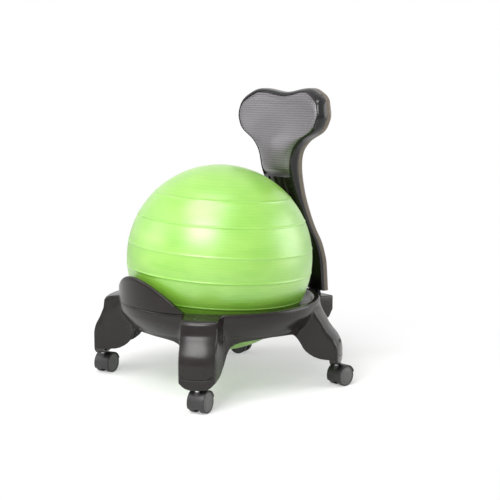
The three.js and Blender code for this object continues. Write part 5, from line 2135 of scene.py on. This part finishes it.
@dataclass
class Studio:
    """Pale floor, soft lights and the photograph's camera."""

    azimuth: float = 54.86
    elevation: float = 8.34
    camera_place: Point3 = (2.4717, -1.6835, 0.7949)
    lens: float = 79.2
    sensor: float = 36
    white: str = "#ffffff"
    floor_colour: str = "#ffffff"
    sky_level: float = 0.45
    floor_reach: float = 40
    fade_start: float = 0.35
    fade_end: float = 1.1
    least_fade: float = 0.35

    def world(self) -> None:
        """White behind everything that the camera, a gloss or a clear surface sees."""
        world = bpy.data.worlds.new("White_Studio")
        world.use_nodes = True
        tree = world.node_tree
        tree.nodes.clear()
        path = add_node(tree, "ShaderNodeLightPath").outputs
        sharp = add_node(tree, "ShaderNodeMath", {"operation": "MAXIMUM"}, {
            0: path["Is Glossy Ray"], 1: path["Is Transmission Ray"],
        }).outputs[0]
        seen = add_node(tree, "ShaderNodeMath", {"operation": "MAXIMUM"}, {
            0: path["Is Camera Ray"], 1: sharp,
        }).outputs[0]
        level = add_node(tree, "ShaderNodeMapRange", {
            "To Min": self.sky_level, "To Max": 1.0,
        }, {"Value": seen}).outputs[0]
        shade = add_node(tree, "ShaderNodeBackground", {"Color": linear(self.white)},
                         {"Strength": level})
        add_node(tree, "ShaderNodeOutputWorld", links={"Surface": shade.outputs[0]})
        bpy.context.scene.world = world

    def floor(self) -> None:
        """Pale floor that keeps the shadow and turns into the white backdrop further off."""
        bm = bmesh.new()
        bmesh.ops.create_grid(bm, x_segments=1, y_segments=1, size=self.floor_reach)
        mesh = bpy.data.meshes.new("floor")
        bm.to_mesh(mesh)
        bm.free()
        made = bpy.data.materials.new("Floor_White_Matt")
        made.use_nodes = True
        tree = made.node_tree
        tree.nodes.clear()
        place = add_node(tree, "ShaderNodeTexCoord").outputs["Object"]
        reach = add_node(tree, "ShaderNodeVectorMath", {"operation": "LENGTH"}, {0: place})
        fade = add_node(tree, "ShaderNodeMapRange", {
            "interpolation_type": "SMOOTHSTEP",
            "From Min": self.fade_start, "From Max": self.fade_end, "To Min": self.least_fade,
        }, {"Value": reach.outputs["Value"]}).outputs[0]
        matt = add_node(tree, "ShaderNodeBsdfDiffuse", {"Color": linear(self.floor_colour)})
        path = add_node(tree, "ShaderNodeLightPath").outputs
        bright = add_node(tree, "ShaderNodeEmission", {"Color": linear(self.white)})
        seen = add_node(tree, "ShaderNodeMath", {"operation": "MULTIPLY"}, {
            0: fade, 1: path["Is Camera Ray"],
        }).outputs[0]
        mixed = add_node(tree, "ShaderNodeMixShader", links={
            0: seen, 1: matt.outputs[0], 2: bright.outputs[0],
        })
        add_node(tree, "ShaderNodeOutputMaterial", links={"Surface": mixed.outputs[0]})
        mesh.materials.append(made)
        floor = bpy.data.objects.new("floor", mesh)
        bpy.context.scene.collection.objects.link(floor)

    def camera(self) -> None:
        """Sets the camera at the photograph's place and angle."""
        lens = bpy.data.cameras.new("photo_camera")
        lens.lens, lens.sensor_width, lens.sensor_fit = self.lens, self.sensor, "HORIZONTAL"
        lens.clip_start, lens.clip_end = 0.05, 200
        lens.dof.use_dof = False
        made = bpy.data.objects.new("photo_camera", lens)
        azimuth, elevation = math.radians(self.azimuth), math.radians(self.elevation)
        back = Vector((
            math.sin(azimuth) * math.cos(elevation), -math.cos(azimuth) * math.cos(elevation),
            math.sin(elevation),
        ))
        made.location = self.camera_place
        made.rotation_euler = back.to_track_quat("Z", "Y").to_euler()
        bpy.context.scene.collection.objects.link(made)
        bpy.context.scene.camera = made

    def build(self) -> None:
        """Sets up the world, the floor, the lights and the camera."""
        self.world()
        self.floor()
        for lamp in LAMPS:
            lamp.build()
        self.camera()
        bpy.context.scene.view_settings.view_transform = "Standard"


# Where each caster trails to, in degrees round from the front
HEADINGS = {"front_right": 207, "front_left": 209, "rear_right": 116, "rear_left": 188}


def main() -> None:
    """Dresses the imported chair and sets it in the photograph's studio."""
    logging.basicConfig(level=logging.INFO, format="%(name)s %(message)s", stream=sys.stdout)
    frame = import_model()
    log.info("frame holds %d solids", len(frame["nodes"]))
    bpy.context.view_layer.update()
    base = RingBase()
    base.build()
    BallStop().build()
    Backrest().build()
    Ball().build()
    for leg in base.legs:
        Caster(leg, HEADINGS[leg.name]).build()
    Studio().build()


if __name__ == "__main__":
    main()
